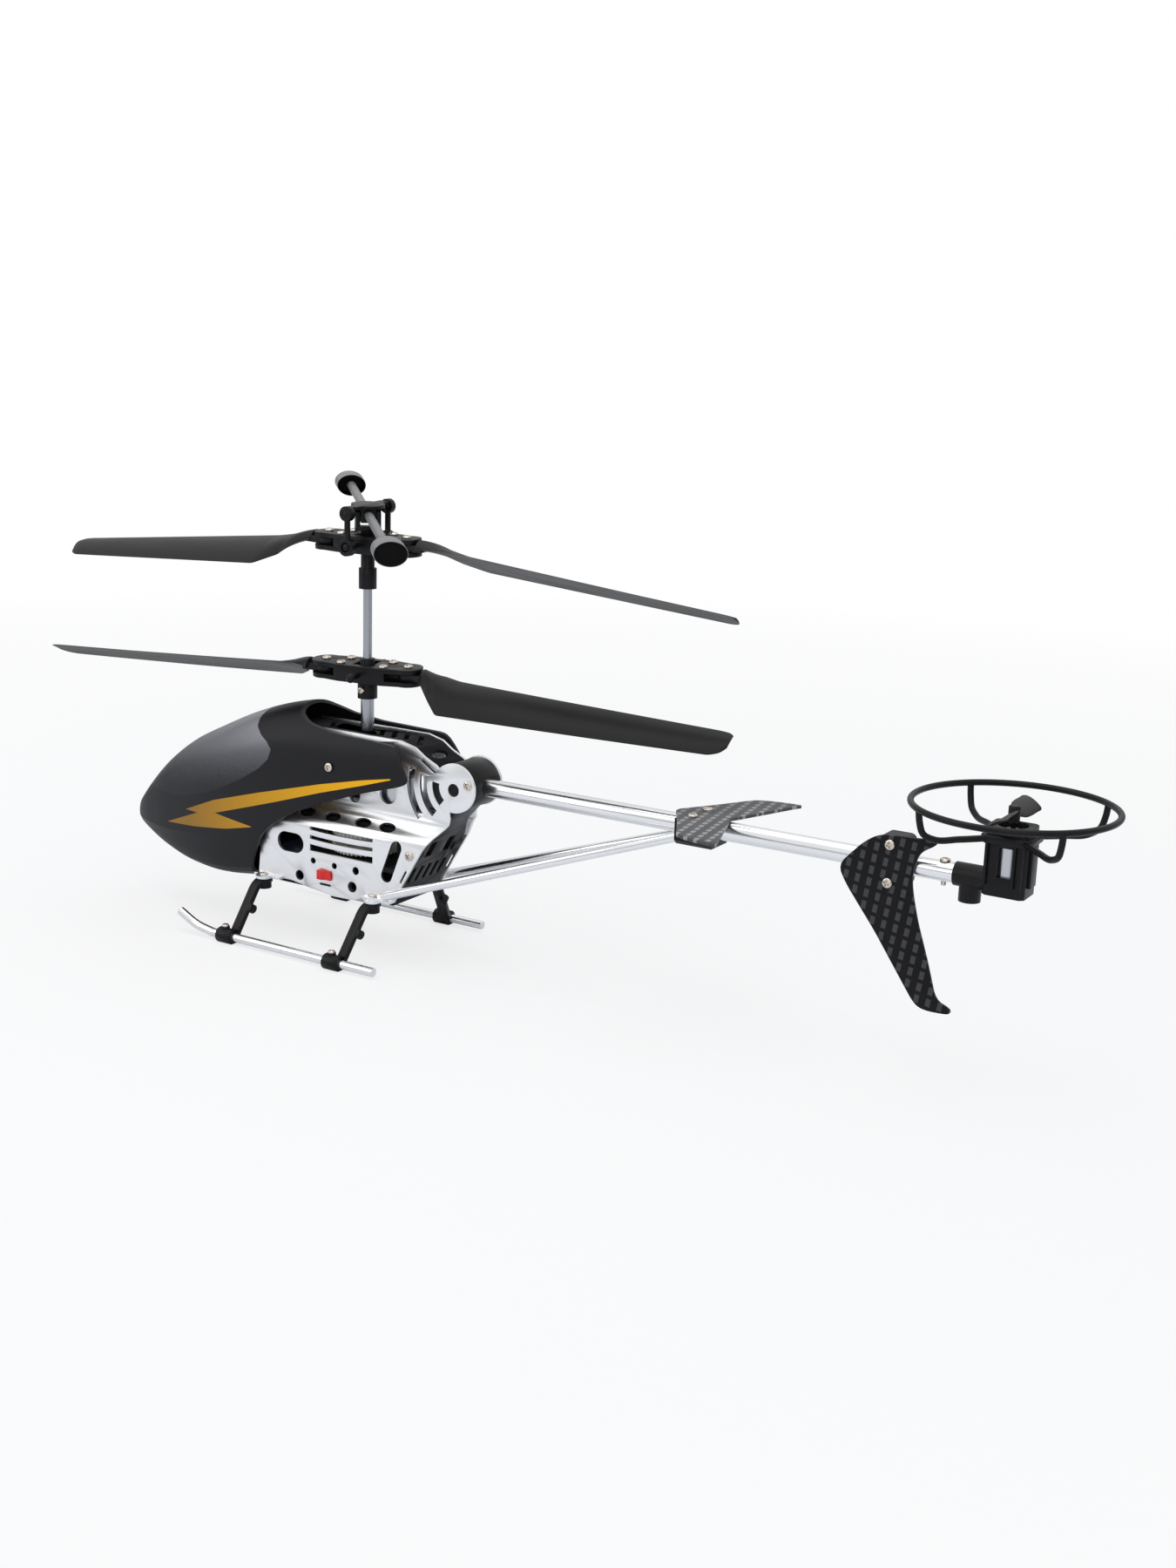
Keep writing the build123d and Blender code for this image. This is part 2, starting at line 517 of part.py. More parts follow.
PAD_Z = BOOM_Z + BOOM_R + 0.2
stab_clamp = block(-136.4, -124.1, -6.4, 6.4, 57.4, PAD_Z)
stab_clamp = chamfer(stab_clamp.edges().filter_by(Axis.X).sort_by(Axis.Z)[:2], 1.4)
stab_clamp -= bar((-150, 0, BOOM_Z), (-110, 0, BOOM_Z), BOOM_R + SLIP)
for side in (-1, 1):
    start = (strut_tip[0], side * strut_tip[1], strut_tip[2])
    unit = (Vector(*STRUT_END) - Vector(*strut_tip)).normalized()
    finish = (STRUT_END[0] + unit.X * 0.3, side * (STRUT_END[1] + unit.Y * 0.3), STRUT_END[2] + unit.Z * 0.3)
    stab_clamp -= bar(start, finish, STRUT_R + SLIP)
STAB_SCREW_Y = 4.9

half_plan = [
    (-121.6, 1.2), (-128.4, 12.0), (-133.6, 20.4), (-138.6, 26.4), (-143.6, 28.6), (-150.2, 29.0),
    (-148.8, 25.2), (-141.6, 4.4), (-140.2, 1.0),
]
stab_plan = softened(half_plan + [(x, -y) for x, y in reversed(half_plan)])
stabilizer = plan_prism(stab_plan, PAD_Z, PAD_Z + STAB_T)
for side in (-1, 1):
    at = (STAB_X, side * STAB_SCREW_Y, PAD_Z + STAB_T)
    stabilizer -= screw_hole(at, (0, 0, 1), 2)
    stab_clamp -= screw_hole(at, (0, 0, 1), 4.4)

fin_outline = [
    (-178.3, 60.3), (-184.1, 66.9), (-188.3, 70.4), (-192.4, 71.8), (-199.1, 72.0), (-207.4, 72.5),
    (-208.2, 71.2), (-203.8, 68.6), (-202.4, 66.4), (-201.5, 62.6), (-201.3, 59.0), (-202.0, 54.8),
    (-203.9, 47.4), (-207.7, 36.4), (-211.0, 25.4), (-215.2, 23.8), (-215.9, 22.6), (-214.8, 21.8),
    (-207.7, 21.6), (-204.6, 23.0), (-201.2, 27.8), (-191.0, 42.4), (-180.9, 55.3),
]
fin = side_prism(softened(fin_outline), FIN_Y, FIN_Y + FIN_T)
fin_clamp = block(FIN_X - 4.6, FIN_X + 4.6, -FIN_Y, FIN_Y, 55.8, 71.0)
fin_clamp = fillet(fin_clamp.edges().filter_by(Axis.Y), 2.0)
fin_clamp -= bar((-220, 0, BOOM_Z), (-170, 0, BOOM_Z), BOOM_R + SLIP)
FIN_SCREW_Z = (57.6, 69.0)
for z in FIN_SCREW_Z:
    fin -= screw_hole((FIN_X, FIN_Y + FIN_T, z), (0, 1, 0), 3)
    fin_clamp -= screw_hole((FIN_X, FIN_Y + FIN_T, z), (0, 1, 0), 6)

# --- Tail motor housing, guard, motor, rotor ------------------------------------------------
housing = block(TAIL_X - TAIL_HALF_X, TAIL_X + TAIL_HALF_X, -TAIL_HALF_Y, TAIL_HALF_Y, 59.4, TAIL_TOP)
housing = chamfer(housing.edges().filter_by(Axis.Z), 1.2)
housing += bar((BOOM_REAR, 0, BOOM_Z), (TAIL_X + 4, 0, BOOM_Z), 3.5)
housing += bar((BOOM_REAR + 8.5, 0, BOOM_Z), (BOOM_REAR, 0, BOOM_Z), BOOM_BORE - SLIP)
housing += upright(-216.9, 0, 55.2, BOOM_Z, 3.2)
TAIL_MOTOR_R = 4.3
housing -= upright(TAIL_X, 0, 61.0, TAIL_TOP + 1, TAIL_MOTOR_R + SLIP)
housing -= block(TAIL_X - 2.3, TAIL_X + 1.9, -20, 20, 65.0, 73.6)
housing -= upright(BOOM_SCREW_X, 0, 50, 75, SHANK_R + RUN)
housing -= upright(-216.9, 0, 50, 58.5, 2.0)
tail_motor = upright(TAIL_X, 0, 61.0, 77.0, TAIL_MOTOR_R)
tail_motor += upright(TAIL_X, 0, 77.0, 78.2, 2.2)
tail_motor -= upright(TAIL_X, 0, 72.0, 80.0, MOTOR_SHAFT_R + RUN)

COLLAR_Z = (74.6, 77.0)
guard = Pos(TAIL_X, 0, RING_Z) * Torus(RING_R, RING_TUBE)
for azimuth in (45, 135, 225, 315):
    c, s = cos(radians(azimuth)), sin(radians(azimuth))
    reach = [(RING_R, RING_Z), (RING_R - 0.5, 81.0), (RING_R - 1.8, 77.6), (RING_R - 5.2, 75.9),
             (16.0, 75.7), (7.6, 75.8)]
    guard += along([(TAIL_X + r * c, r * s, z) for r, z in reach], RING_TUBE)
guard += block(TAIL_X - TAIL_HALF_X - 1.1, TAIL_X + TAIL_HALF_X + 1.1,
               -TAIL_HALF_Y - 1.1, TAIL_HALF_Y + 1.1, COLLAR_Z[0], COLLAR_Z[1])
guard -= block(TAIL_X - TAIL_HALF_X, TAIL_X + TAIL_HALF_X, -TAIL_HALF_Y, TAIL_HALF_Y, 60, 90)

prop = upright(TAIL_X, 0, 80.2, 85.0, 1.7)
prop += upright(TAIL_X, 0, 72.6, 80.2, MOTOR_SHAFT_R)
PROP_Z = 82.9


def prop_section(radius, chord, pitch):
    across = (cos(radians(pitch)), 0, sin(radians(pitch)))
    plane = Plane(origin=(TAIL_X, radius, PROP_Z), x_dir=across, z_dir=(0, 1, 0))
    return plane * Rectangle(chord, 0.8)


PROP_SHAPE = [(1.0, 3.4, -38), (5.0, 6.4, -36), (12.0, 6.6, -32), (PROP_R, 5.8, -30)]
prop_blade = loft([prop_section(*row) for row in PROP_SHAPE], ruled=True)
prop += prop_blade
prop += prop_blade.rotate(Axis((TAIL_X, 0, 0), (0, 0, 1)), 180)

# --- Rotor drive ----------------------------------------------------------------------------
CARRIER_Z = 86.4
outer_shaft = upright(0, 0, 37.8, 91.0, OUTER_R) - upright(0, 0, 30, 100, INNER_R + RUN)
outer_gear = Pos(0, 0, OUTER_GEAR_Z) * gear(GEAR_TEETH, GEAR_W, 3.0)
outer_gear += upright(0, 0, 38.0, 42.9, 3.8)
for angle in range(0, 360, 60):
    outer_gear -= upright(7.6 * cos(radians(angle)), 7.6 * sin(radians(angle)), 30, 50, 2.2)
outer_gear -= upright(0, 0, 30, 50, OUTER_R + SLIP)

inner_shaft = upright(0, 0, 28.4, 134.0, INNER_R)
inner_gear = Pos(0, 0, INNER_GEAR_Z) * gear(GEAR_TEETH, GEAR_W, 3.0)
inner_gear += upright(0, 0, GEARBOX_Z + GEARBOX_T + 0.2, 37.4, 3.4)
for angle in range(30, 390, 60):
    inner_gear -= upright(7.6 * cos(radians(angle)), 7.6 * sin(radians(angle)), 25, 45, 2.2)
inner_gear -= upright(0, 0, 25, 50, INNER_R + SLIP)

pinion_turn = 180 / PINION_TEETH
pinion_rear = Pos(-GEAR_CENTRES, 0, OUTER_GEAR_Z - 0.4) * gear(PINION_TEETH, 2.8, 0.2, pinion_turn)
pinion_rear += upright(-GEAR_CENTRES, 0, OUTER_GEAR_Z - 0.4, MOTOR_FLOOR + 5, MOTOR_SHAFT_R)
pinion_front = Pos(GEAR_CENTRES, 0, INNER_GEAR_Z - 0.4) * gear(PINION_TEETH, 2.8, 0.2)
pinion_front += upright(GEAR_CENTRES, 0, INNER_GEAR_Z - 0.4, MOTOR_FLOOR + 5, MOTOR_SHAFT_R)

TRUNNION_R = 1.0
TRUNNION_LEN = 6.0
carrier = upright(0, 0, CARRIER_Z, 91.7, 3.35)
carrier += upright(0, 0, 91.7, 100.0, 2.55)
carrier += bar((-TRUNNION_LEN, 0, LOWER_Z), (TRUNNION_LEN, 0, LOWER_Z), TRUNNION_R)
carrier -= upright(0, 0, 80, 91.0, OUTER_R + SLIP)
carrier -= upright(0, 0, 80, 110, INNER_R + RUN)
carrier = carrier.rotate(Axis.Z, LOWER_AZ)
COLLAR_SCREW_Z = 89.4
carrier -= screw_hole((0, 3.35, COLLAR_SCREW_Z), (0, 1, 0), 1.0)

post_r = 2.3
head = upright(0, 0, 123.7, 130.6, 3.0)
head += upright(0, 0, 130.6, 144.0, post_r)
head += bar((-TRUNNION_LEN, 0, UPPER_Z), (TRUNNION_LEN, 0, UPPER_Z), TRUNNION_R)
head = head.rotate(Axis.Z, UPPER_AZ)
EAR_IN, EAR_OUT = 2.7, 4.2
fork = block(-2.6, 2.6, -EAR_OUT, EAR_OUT, 143.2, 144.6)
for side in (-1, 1):
    y0, y1 = sorted((side * EAR_IN, side * EAR_OUT))
    fork += block(-2.2, 2.2, y0, y1, 143.2, FLY_Z)
    fork += bar((0, y0, FLY_Z), (0, y1, FLY_Z), 2.2)
fork -= bar((0, -9, FLY_Z), (0, 9, FLY_Z), TRUNNION_R + RUN)
head += fork.rotate(Axis.Z, FLY_AZ)
head -= upright(0, 0, 120, 134.0, INNER_R + SLIP)

# --- Hubs and blades ------------------------------------------------------------------------


def hub_plate(z0):
    """Hub plate: waisted bar with round ends about the blade pivots."""
    plate = block(-8.5, 8.5, -HUB_W / 2, HUB_W / 2, z0, z0 + HUB_PLATE)
    half = [(8.5, -HUB_W / 2), (PIVOT_R, -4.6), (PIVOT_R, 4.6), (8.5, HUB_W / 2)]
    for side in (-1, 1):
        plate += plan_prism([(side * x, y) for x, y in half], z0, z0 + HUB_PLATE)
        plate += upright(side * PIVOT_R, 0, z0, z0 + HUB_PLATE, HUB_END - PIVOT_R)
    return plate


def hub():
    """Rotor hub about its own centre, blade axis on X."""
    body = hub_plate(FORK_GAP) + hub_plate(-FORK_GAP - HUB_PLATE)
    body += block(-9.8, 9.8, -HUB_W / 2, HUB_W / 2, -FORK_GAP, FORK_GAP)
    for side in (-1, 1):
        body += bar((0, side * HUB_W / 2, 0), (0, side * STUD_R, 0), 0.9)
        body += Pos(0, side * STUD_R, 0) * Sphere(BALL_R)
    body -= block(-3.6, 3.6, -3.6, 3.6, -5, 5)
    body -= bar((-TRUNNION_LEN - 0.3, 0, 0), (TRUNNION_LEN + 0.3, 0, 0), TRUNNION_R + RUN)
    for x, y in HUB_SCREWS:
        body -= upright(x, y, -5, 5, SHANK_R + RUN)
    return body


HUB_TOP = FORK_GAP + HUB_PLATE
HUB_SCREWS = [(side * x, y) for side in (-1, 1) for x, y in ((PIVOT_R, 0), (8.2, 3.4), (8.2, -3.4))]


def hub_screws():
    group = [screw((x, y, HUB_TOP), (0, 0, 1), 2 * HUB_TOP) for x, y in HUB_SCREWS]
    return group


ROOT_R = HUB_END + 1.2
TIP_R = ROTOR_R - 4.6       # where the slanted tip begins
ROOT_HALF = 3.4
KNEE_TRAIL = 15.2
TIP_TRAIL = 8.7
LEAD = 1.8


def blade_plan(knee):
    """Rows of radius, leading offset, trailing offset and thickness, root to tip."""
    rows = [(ROOT_R, ROOT_HALF, ROOT_HALF, 2.2)]
    inner = (28.0 - ROOT_R) / (knee - ROOT_R)
    rows.append((28.0, 3.0, ROOT_HALF + (KNEE_TRAIL - ROOT_HALF) * inner, 1.6))
    rows.append((knee, LEAD, KNEE_TRAIL, 1.3))
    for radius, thick in ((72.0, 1.2), (103.0, 1.1), (TIP_R, 1.0)):
        outer = (radius - knee) / (TIP_R - knee)
        rows.append((radius, LEAD, KNEE_TRAIL + (TIP_TRAIL - KNEE_TRAIL) * outer, thick))
    rows.append((ROTOR_R - 1.3, LEAD - 0.3, TIP_TRAIL - 1.6, 0.9))
    rows.append((ROTOR_R, LEAD - 1.3, TIP_TRAIL - 4.0, 0.8))
    return rows


def blade(turn, knee, droop, bend, pitch):
    """Rotor blade along +X; turn is +1 for a rotor that runs anticlockwise seen from above."""
    sections = []
    for radius, lead, trail, thick in blade_plan(knee):
        out = (radius - ROOT_R) / (ROTOR_R - ROOT_R)
        near = min((radius - ROOT_R) / (knee - ROOT_R), 1)
        angle = pitch[0] * near + (pitch[1] - pitch[0]) * max(out - 0.17, 0) / 0.83
        sag = -droop * out ** bend
        a, b = (turn * lead, 0), (-turn * trail, 0)
        middle = (a[0] + b[0]) / 2
        upper = ThreePointArc(a, (middle, thick), b)
        lower = ThreePointArc(b, (middle, -0.1 if radius > 30 else -thick / 2), a)
        shape = make_face([upper, lower])
        plane = Plane(origin=(radius, 0, sag), x_dir=(0, 1, 0), z_dir=(1, 0, 0))
        sections.append(plane * Rot(0, 0, turn * angle) * shape)
    wing = loft(sections, ruled=True)
    root = upright(PIVOT_R, 0, -FORK_GAP + 0.1, FORK_GAP - 0.1, 3.6)
    root += block(PIVOT_R, 23.4, -2.9, 2.9, -FORK_GAP + 0.1, FORK_GAP - 0.1)
    return wing + root - upright(PIVOT_R, 0, -5, 5, SHANK_R + RUN)


def seat(shape, roll, azimuth, height):
    """Move a hub part from its own frame to the mast."""
    return Pos(0, 0, height) * Rot(0, 0, azimuth) * Rot(roll, 0, 0) * shape


lower_hub = seat(hub(), LOWER_ROLL, LOWER_AZ, LOWER_Z)
upper_hub = seat(hub(), UPPER_ROLL, UPPER_AZ, UPPER_Z)
lower_screws = [seat(s, LOWER_ROLL, LOWER_AZ, LOWER_Z) for s in hub_screws()]
upper_screws = [seat(s, UPPER_ROLL, UPPER_AZ, UPPER_Z) for s in hub_screws()]


def placed_blade(shape, lag, face, place):
    """Blade swung by its lag about its own pivot; face is 0 at the front and 180 at the rear."""
    swung = Pos(PIVOT_R, 0, 0) * Rot(0, 0, lag) * Pos(-PIVOT_R, 0, 0) * shape
    return seat(swung.rotate(Axis.Z, face), *place)


def blade_pair(turn, knee, droops, bend, pitch, lags, place):
    """Front and rear blade of one rotor."""
    shapes = [blade(turn, knee, droop, bend, pitch) for droop in droops]
    return [placed_blade(shape, lag, face, place) for shape, lag, face in zip(shapes, lags, (0, 180))]


lower_place = (LOWER_ROLL, LOWER_AZ, LOWER_Z)
upper_place = (UPPER_ROLL, UPPER_AZ, UPPER_Z)
lower_front, lower_rear = blade_pair(
    1, LOWER_KNEE, LOWER_DROOP, 0.82, LOWER_PITCH, LOWER_LAG, lower_place)
upper_front, upper_rear = blade_pair(
    -1, UPPER_KNEE, UPPER_DROOP, 1.0, UPPER_PITCH, UPPER_LAG, upper_place)

# --- Flybar ---------------------------------------------------------------------------------
ROD_SEAT = FLY_ROD_R + SLIP


def tilt(shape):
    """Turn a flybar part from its level pose (rod on X) to the mast."""
    level = Rot(0, 0, FLY_AZ) * Rot(0, FLY_TILT, 0) * shape
    return Pos(0, 0, FLY_Z) * level


arm_turn = 90 - FLY_AZ + UPPER_AZ
yoke = Box(6.4, 5.0, 5.0)
yoke += bar((0, -EAR_OUT, 0), (0, EAR_OUT, 0), TRUNNION_R)
ring_plate = Pos(0, 0, 2.9) * Cylinder(5.6, 1.0)
arms = Pos(0, 0, 2.9) * Box(2 * STUD_R - 4.0, 3.2, 1.0)
for side in (-1, 1):
    elbow = side * (STUD_R - 2.8)
    arms += bar((elbow, 0, LINK_UP - 1.2), (elbow, 0, 3.1), 1.0)
    arms += bar((elbow, 0, LINK_UP), (side * STUD_R, 0, LINK_UP), 0.8)
    arms += Pos(side * STUD_R, 0, LINK_UP) * Rot(0, 90, 0) * Sphere(BALL_R)
yoke += ring_plate + Rot(0, 0, arm_turn) * arms
yoke -= bar((-10, 0, 0), (10, 0, 0), ROD_SEAT)
fly_yoke = tilt(yoke)
fly_rod = tilt(bar((-FLY_HALF + 2.0, 0, 0), (FLY_HALF - 2.0, 0, 0), FLY_ROD_R))

WEIGHT_R = 5.3
WEIGHT_LEN = 10.0
WEIGHT_OVAL = 0.74          # height over width
WEIGHT_WALL = 0.9


def oval(x, radius, length):
    """Oval prism along X from x."""
    plane = Plane(origin=(x, 0, 0), x_dir=(0, 1, 0), z_dir=(1, 0, 0))
    return extrude(plane * Ellipse(radius, radius * WEIGHT_OVAL), amount=length)


weight_in = FLY_HALF - WEIGHT_LEN
weight = oval(weight_in, WEIGHT_R, WEIGHT_LEN)
weight -= oval(weight_in, WEIGHT_R - WEIGHT_WALL, 2.6) + oval(FLY_HALF - 1.0, WEIGHT_R - WEIGHT_WALL, 1.0)
weight += bar((weight_in + 0.6, 0, 0), (weight_in + 3.0, 0, 0), ROD_SEAT + 0.8)
weight -= bar((weight_in, 0, 0), (FLY_HALF - 1.9, 0, 0), ROD_SEAT)
fly_weights = [tilt(weight), tilt(weight.rotate(Axis.Z, 180))]


def link(side):
    """Vertical link with an eye at each end, from a yoke ball to a hub ball."""
    top = tilt(Pos(*(Rot(0, 0, arm_turn) * Pos(side * STUD_R, 0, LINK_UP)).position) * Sphere(0.1)).center()
    low = seat(Pos(0, side * STUD_R, 0) * Sphere(0.1), UPPER_ROLL, UPPER_AZ, UPPER_Z).center()
    outward = Vector(low.X, low.Y, 0).normalized()
    shape = bar(tuple(low), tuple(top), 1.0)
    for ball, play in ((low, LINK_PLAY), (top, RUN)):
        shape += bar(tuple(ball - outward * 1.1), tuple(ball + outward * 1.1), BALL_R + play + 0.9)
    for ball, play in ((low, LINK_PLAY), (top, RUN)):
        shape -= Pos(*ball) * Sphere(BALL_R + play)
    return shape


link_left = link(1)
link_right = link(-1)

# --- Small fasteners ------------------------------------------------------------------------
body_screws = []
for side in (-1, 1):
    for x, z, face_y, length in FRAME_SCREWS:
        body_screws.append(screw((x, side * face_y, z), (0, side, 0), length - 0.6))
    body_screws.append(screw((CANOPY_SCREW[0], side * CANOPY_FACE, CANOPY_SCREW[1]), (0, side, 0), 10.5))

tail_screws = [screw((FIN_X, FIN_Y + FIN_T, z), (0, 1, 0), 5.6) for z in FIN_SCREW_Z]
for side in (-1, 1):
    tail_screws.append(screw((STAB_X, side * STAB_SCREW_Y, PAD_Z + STAB_T), (0, 0, 1), 4.2))
tail_screws.append(screw((BOOM_SCREW_X, 0, BOOM_Z + BOOM_R), (0, 0, 1), 2 * BOOM_R + 1.2))
collar_screw = screw((0, 3.35, COLLAR_SCREW_Z), (0, 1, 0), 1.0, 1.3)

NODES = {
    "plate_left": plate_left,
    "plate_right": plate_right,
    "top_deck": deck,
    "boom_clamp": clamp,
    "rear_cover": cover,
    "belly_tray": tray,
    "gearbox": gearbox,
    "motor_front": motor_front,
    "motor_rear": motor_rear,
    "battery_pack": battery,
    "circuit_board": board,
    "charge_socket": socket,
    "switch_body": switch_body,
    "switch_knob": knob,
    "canopy": canopy,
    "body_screws": Compound(children=body_screws),
    "leg_front_left": leg_fl,
    "leg_front_right": port(leg_fl),
    "leg_rear_left": leg_rl,
    "leg_rear_right": port(leg_rl),
    "leg_screws": Compound(children=leg_screws),
    "skid_left": skid,
    "skid_right": port(skid),
    "tail_boom": boom,
    "strut_left": strut,
    "strut_right": port(strut),
    "stabilizer_clamp": stab_clamp,
    "stabilizer": stabilizer,
    "fin_clamp": fin_clamp,
    "tail_fin": fin,
    "tail_screws": Compound(children=tail_screws),
    "tail_housing": housing,
    "tail_guard": guard,
    "tail_motor": tail_motor,
    "tail_rotor": prop,
    "outer_shaft": outer_shaft,
    "outer_gear": outer_gear,
    "hub_carrier": carrier,
    "collar_screw": collar_screw,
    "inner_shaft": inner_shaft,
    "inner_gear": inner_gear,
    "rotor_head": head,
    "pinion_rear": pinion_rear,
    "pinion_front": pinion_front,
    "lower_hub": lower_hub,
    "lower_hub_screws": Compound(children=lower_screws),
    "blade_lower_front": lower_front,
    "blade_lower_rear": lower_rear,
    "upper_hub": upper_hub,
    "upper_hub_screws": Compound(children=upper_screws),
    "blade_upper_front": upper_front,
    "blade_upper_rear": upper_rear,
    "flybar_rod": fly_rod,
    "flybar_yoke": fly_yoke,
    "flybar_weights": Compound(children=fly_weights),
    "link_left": link_left,
    "link_right": link_right,
}

extents = [shape.bounding_box() for shape in NODES.values()]
SHIFT_X = -(min(box.min.X for box in extents) + max(box.max.X for box in extents)) / 2

for name, shape in NODES.items():
    export_step(Pos(SHIFT_X, 0, 0) * shape, f"parts/{name}.step")
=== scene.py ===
# %% [markdown]
# # A coaxial remote control helicopter
# The mechanical model arrives as a fixed frame: every part is in its real place, in metres, nose towards
# +X, left side towards +Y, standing on z = 0. This lesson dresses it: new meshes where moulded or formed
# shapes need softer skins, and a procedural finish on every surface.

import json
from math import cos, hypot, pi, radians, sin, sqrt

import bmesh
import bpy
import numpy as np
from mathutils import Matrix, Vector


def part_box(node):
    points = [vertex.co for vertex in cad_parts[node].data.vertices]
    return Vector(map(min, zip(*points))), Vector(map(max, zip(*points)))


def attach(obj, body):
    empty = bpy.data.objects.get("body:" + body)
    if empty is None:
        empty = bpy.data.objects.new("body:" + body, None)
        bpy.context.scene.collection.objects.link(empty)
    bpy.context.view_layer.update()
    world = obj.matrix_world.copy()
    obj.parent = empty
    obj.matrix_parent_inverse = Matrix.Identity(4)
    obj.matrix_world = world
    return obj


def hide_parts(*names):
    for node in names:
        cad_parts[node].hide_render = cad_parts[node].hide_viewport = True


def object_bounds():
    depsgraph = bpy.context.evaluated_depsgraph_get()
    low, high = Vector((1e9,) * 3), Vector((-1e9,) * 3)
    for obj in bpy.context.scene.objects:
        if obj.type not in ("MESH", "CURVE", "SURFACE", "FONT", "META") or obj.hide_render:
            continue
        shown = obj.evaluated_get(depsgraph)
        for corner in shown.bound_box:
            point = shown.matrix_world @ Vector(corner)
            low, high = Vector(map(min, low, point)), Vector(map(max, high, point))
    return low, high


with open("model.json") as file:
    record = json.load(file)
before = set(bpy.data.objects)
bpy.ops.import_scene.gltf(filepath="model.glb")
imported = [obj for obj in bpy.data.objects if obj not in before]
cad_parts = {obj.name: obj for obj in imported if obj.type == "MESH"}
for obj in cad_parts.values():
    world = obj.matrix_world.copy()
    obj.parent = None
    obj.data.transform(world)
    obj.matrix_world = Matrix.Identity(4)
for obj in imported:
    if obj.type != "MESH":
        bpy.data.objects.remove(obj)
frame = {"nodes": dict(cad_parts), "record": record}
bpy.context.view_layer.update()
CAD_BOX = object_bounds()
print("frame box", [round(v, 4) for v in CAD_BOX[0]], [round(v, 4) for v in CAD_BOX[1]])

# %% [markdown]
# ## Measuring from the mast
# Everything on a helicopter is laid out from the main shaft, so its axis is the natural zero. The shaft's
# place is read from the frame, and at() turns millimetres from the mast into a point of the scene. The
# floor is where the skids touch it.

# %% Millimetres from the mast
MM = 0.001
shaft_low, shaft_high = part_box("inner_shaft")
MAST_X = (shaft_low.x + shaft_high.x) / 2


def at(x, y, z):
    """Point given in millimetres from the main shaft's axis and the floor."""
    return Vector((MAST_X + x * MM, y * MM, z * MM))


print("mast at x =", round(MAST_X, 4))

# %% [markdown]
# ## The camera
# The craft is seen from its left front, a little above the canopy, which shows the nose, the open side of
# the body and the whole tail in one view. A long boom needs some perspective to read as long, so the lens
# is moderate and the camera stands about 0.6 m away. The small roll sets the mast upright in the frame.

# %% Camera
EYE = at(-384.1, 486.2, 207.8)
LOOK = Vector((0.5045, -0.8306, -0.2358)).normalized()
ROLL = radians(1.79)


def camera_turn(look, roll):
    """Rotation of a camera that looks along a direction, rolled about it."""
    side = look.cross(Vector((0, 0, 1))).normalized()
    up = side.cross(look)
    right = side * cos(roll) + up * sin(roll)
    top = up * cos(roll) - side * sin(roll)
    return Matrix((right, top, -look)).transposed()


lens = bpy.data.cameras.new("camera")
lens.lens = 42.27
lens.sensor_width = 36
lens.clip_start = 0.01
camera = bpy.data.objects.new("camera", lens)
camera.matrix_world = Matrix.Translation(EYE) @ camera_turn(LOOK, ROLL).to_4x4()
bpy.context.scene.collection.objects.link(camera)
bpy.context.scene.camera = camera
bpy.context.scene.view_settings.view_transform = "Standard"
print("camera", [round(v, 3) for v in EYE], "lens", lens.lens)

# %% [markdown]
# ## Shader maths as plain expressions
# A node material is a small program. Wrapping a socket in a class with arithmetic on it lets a pattern be
# written as one line, such as 1 - weave * 0.4, while each operation still becomes a Math node. Colours and
# vectors keep to the Mix and Vector Math nodes, because a Math node would turn a colour grey.

# %% Signals and finishes


class Signal:
    """A value that changes over a surface. Arithmetic on it adds Math nodes."""

    def __init__(self, finish, socket):
        self.finish = finish
        self.socket = socket

    def math(self, operation, *values):
        return self.finish.node("ShaderNodeMath", {"operation": operation}, *values)

    def __add__(self, other):
        return self.math("ADD", self, other)

    def __radd__(self, other):
        return self.math("ADD", other, self)

    def __sub__(self, other):
        return self.math("SUBTRACT", self, other)

    def __rsub__(self, other):
        return self.math("SUBTRACT", other, self)

    def __mul__(self, other):
        return self.math("MULTIPLY", self, other)

    def __rmul__(self, other):
        return self.math("MULTIPLY", other, self)

    def __truediv__(self, other):
        return self.math("DIVIDE", self, other)

    def __rtruediv__(self, other):
        return self.math("DIVIDE", other, self)

    def __mod__(self, other):
        return self.math("FLOORED_MODULO", self, other)

    def __abs__(self):
        return self.math("ABSOLUTE", self)

    def most(self, other):
        return self.math("MAXIMUM", self, other)

    def least(self, other):
        return self.math("MINIMUM", self, other)

    def wave(self):
        return self.math("SINE", self)

    def above(self, limit, blur):
        """0 well below the limit, 1 well above it, with a soft edge of the blur's width."""
        return ((self - limit) / blur + 0.5).most(0).least(1)


class Finish:
    """A node tree for one finish. node() adds any node: settings first, then its sockets."""

    def __init__(self, name, tree=None):
        self.material = None
        if tree is None:
            self.material = bpy.data.materials.new(name)
            self.material.use_nodes = True
            tree = self.material.node_tree
        self.tree = tree
        self.tree.nodes.clear()

    def feed(self, socket, value):
        if isinstance(value, Signal):
            self.tree.links.new(value.socket, socket)
        elif isinstance(value, (tuple, list)) and len(value) < len(socket.default_value):
            socket.default_value = (*value, 1.0)
        else:
            socket.default_value = value

    def node(self, kind, settings, *values, out=0, **named):
        made = self.tree.nodes.new(kind)
        for key, value in settings.items():
            if key == "stops":
                set_stops(made.color_ramp, value)
            elif key == "ease":
                made.color_ramp.interpolation = value
            else:
                setattr(made, key, value)
        for index, value in enumerate(values):
            self.feed(made.inputs[index], value)
        for label, value in named.items():
            self.feed(made.inputs[label.replace("_", " ")], value)
        return Signal(self, made.outputs[out]) if made.outputs else None


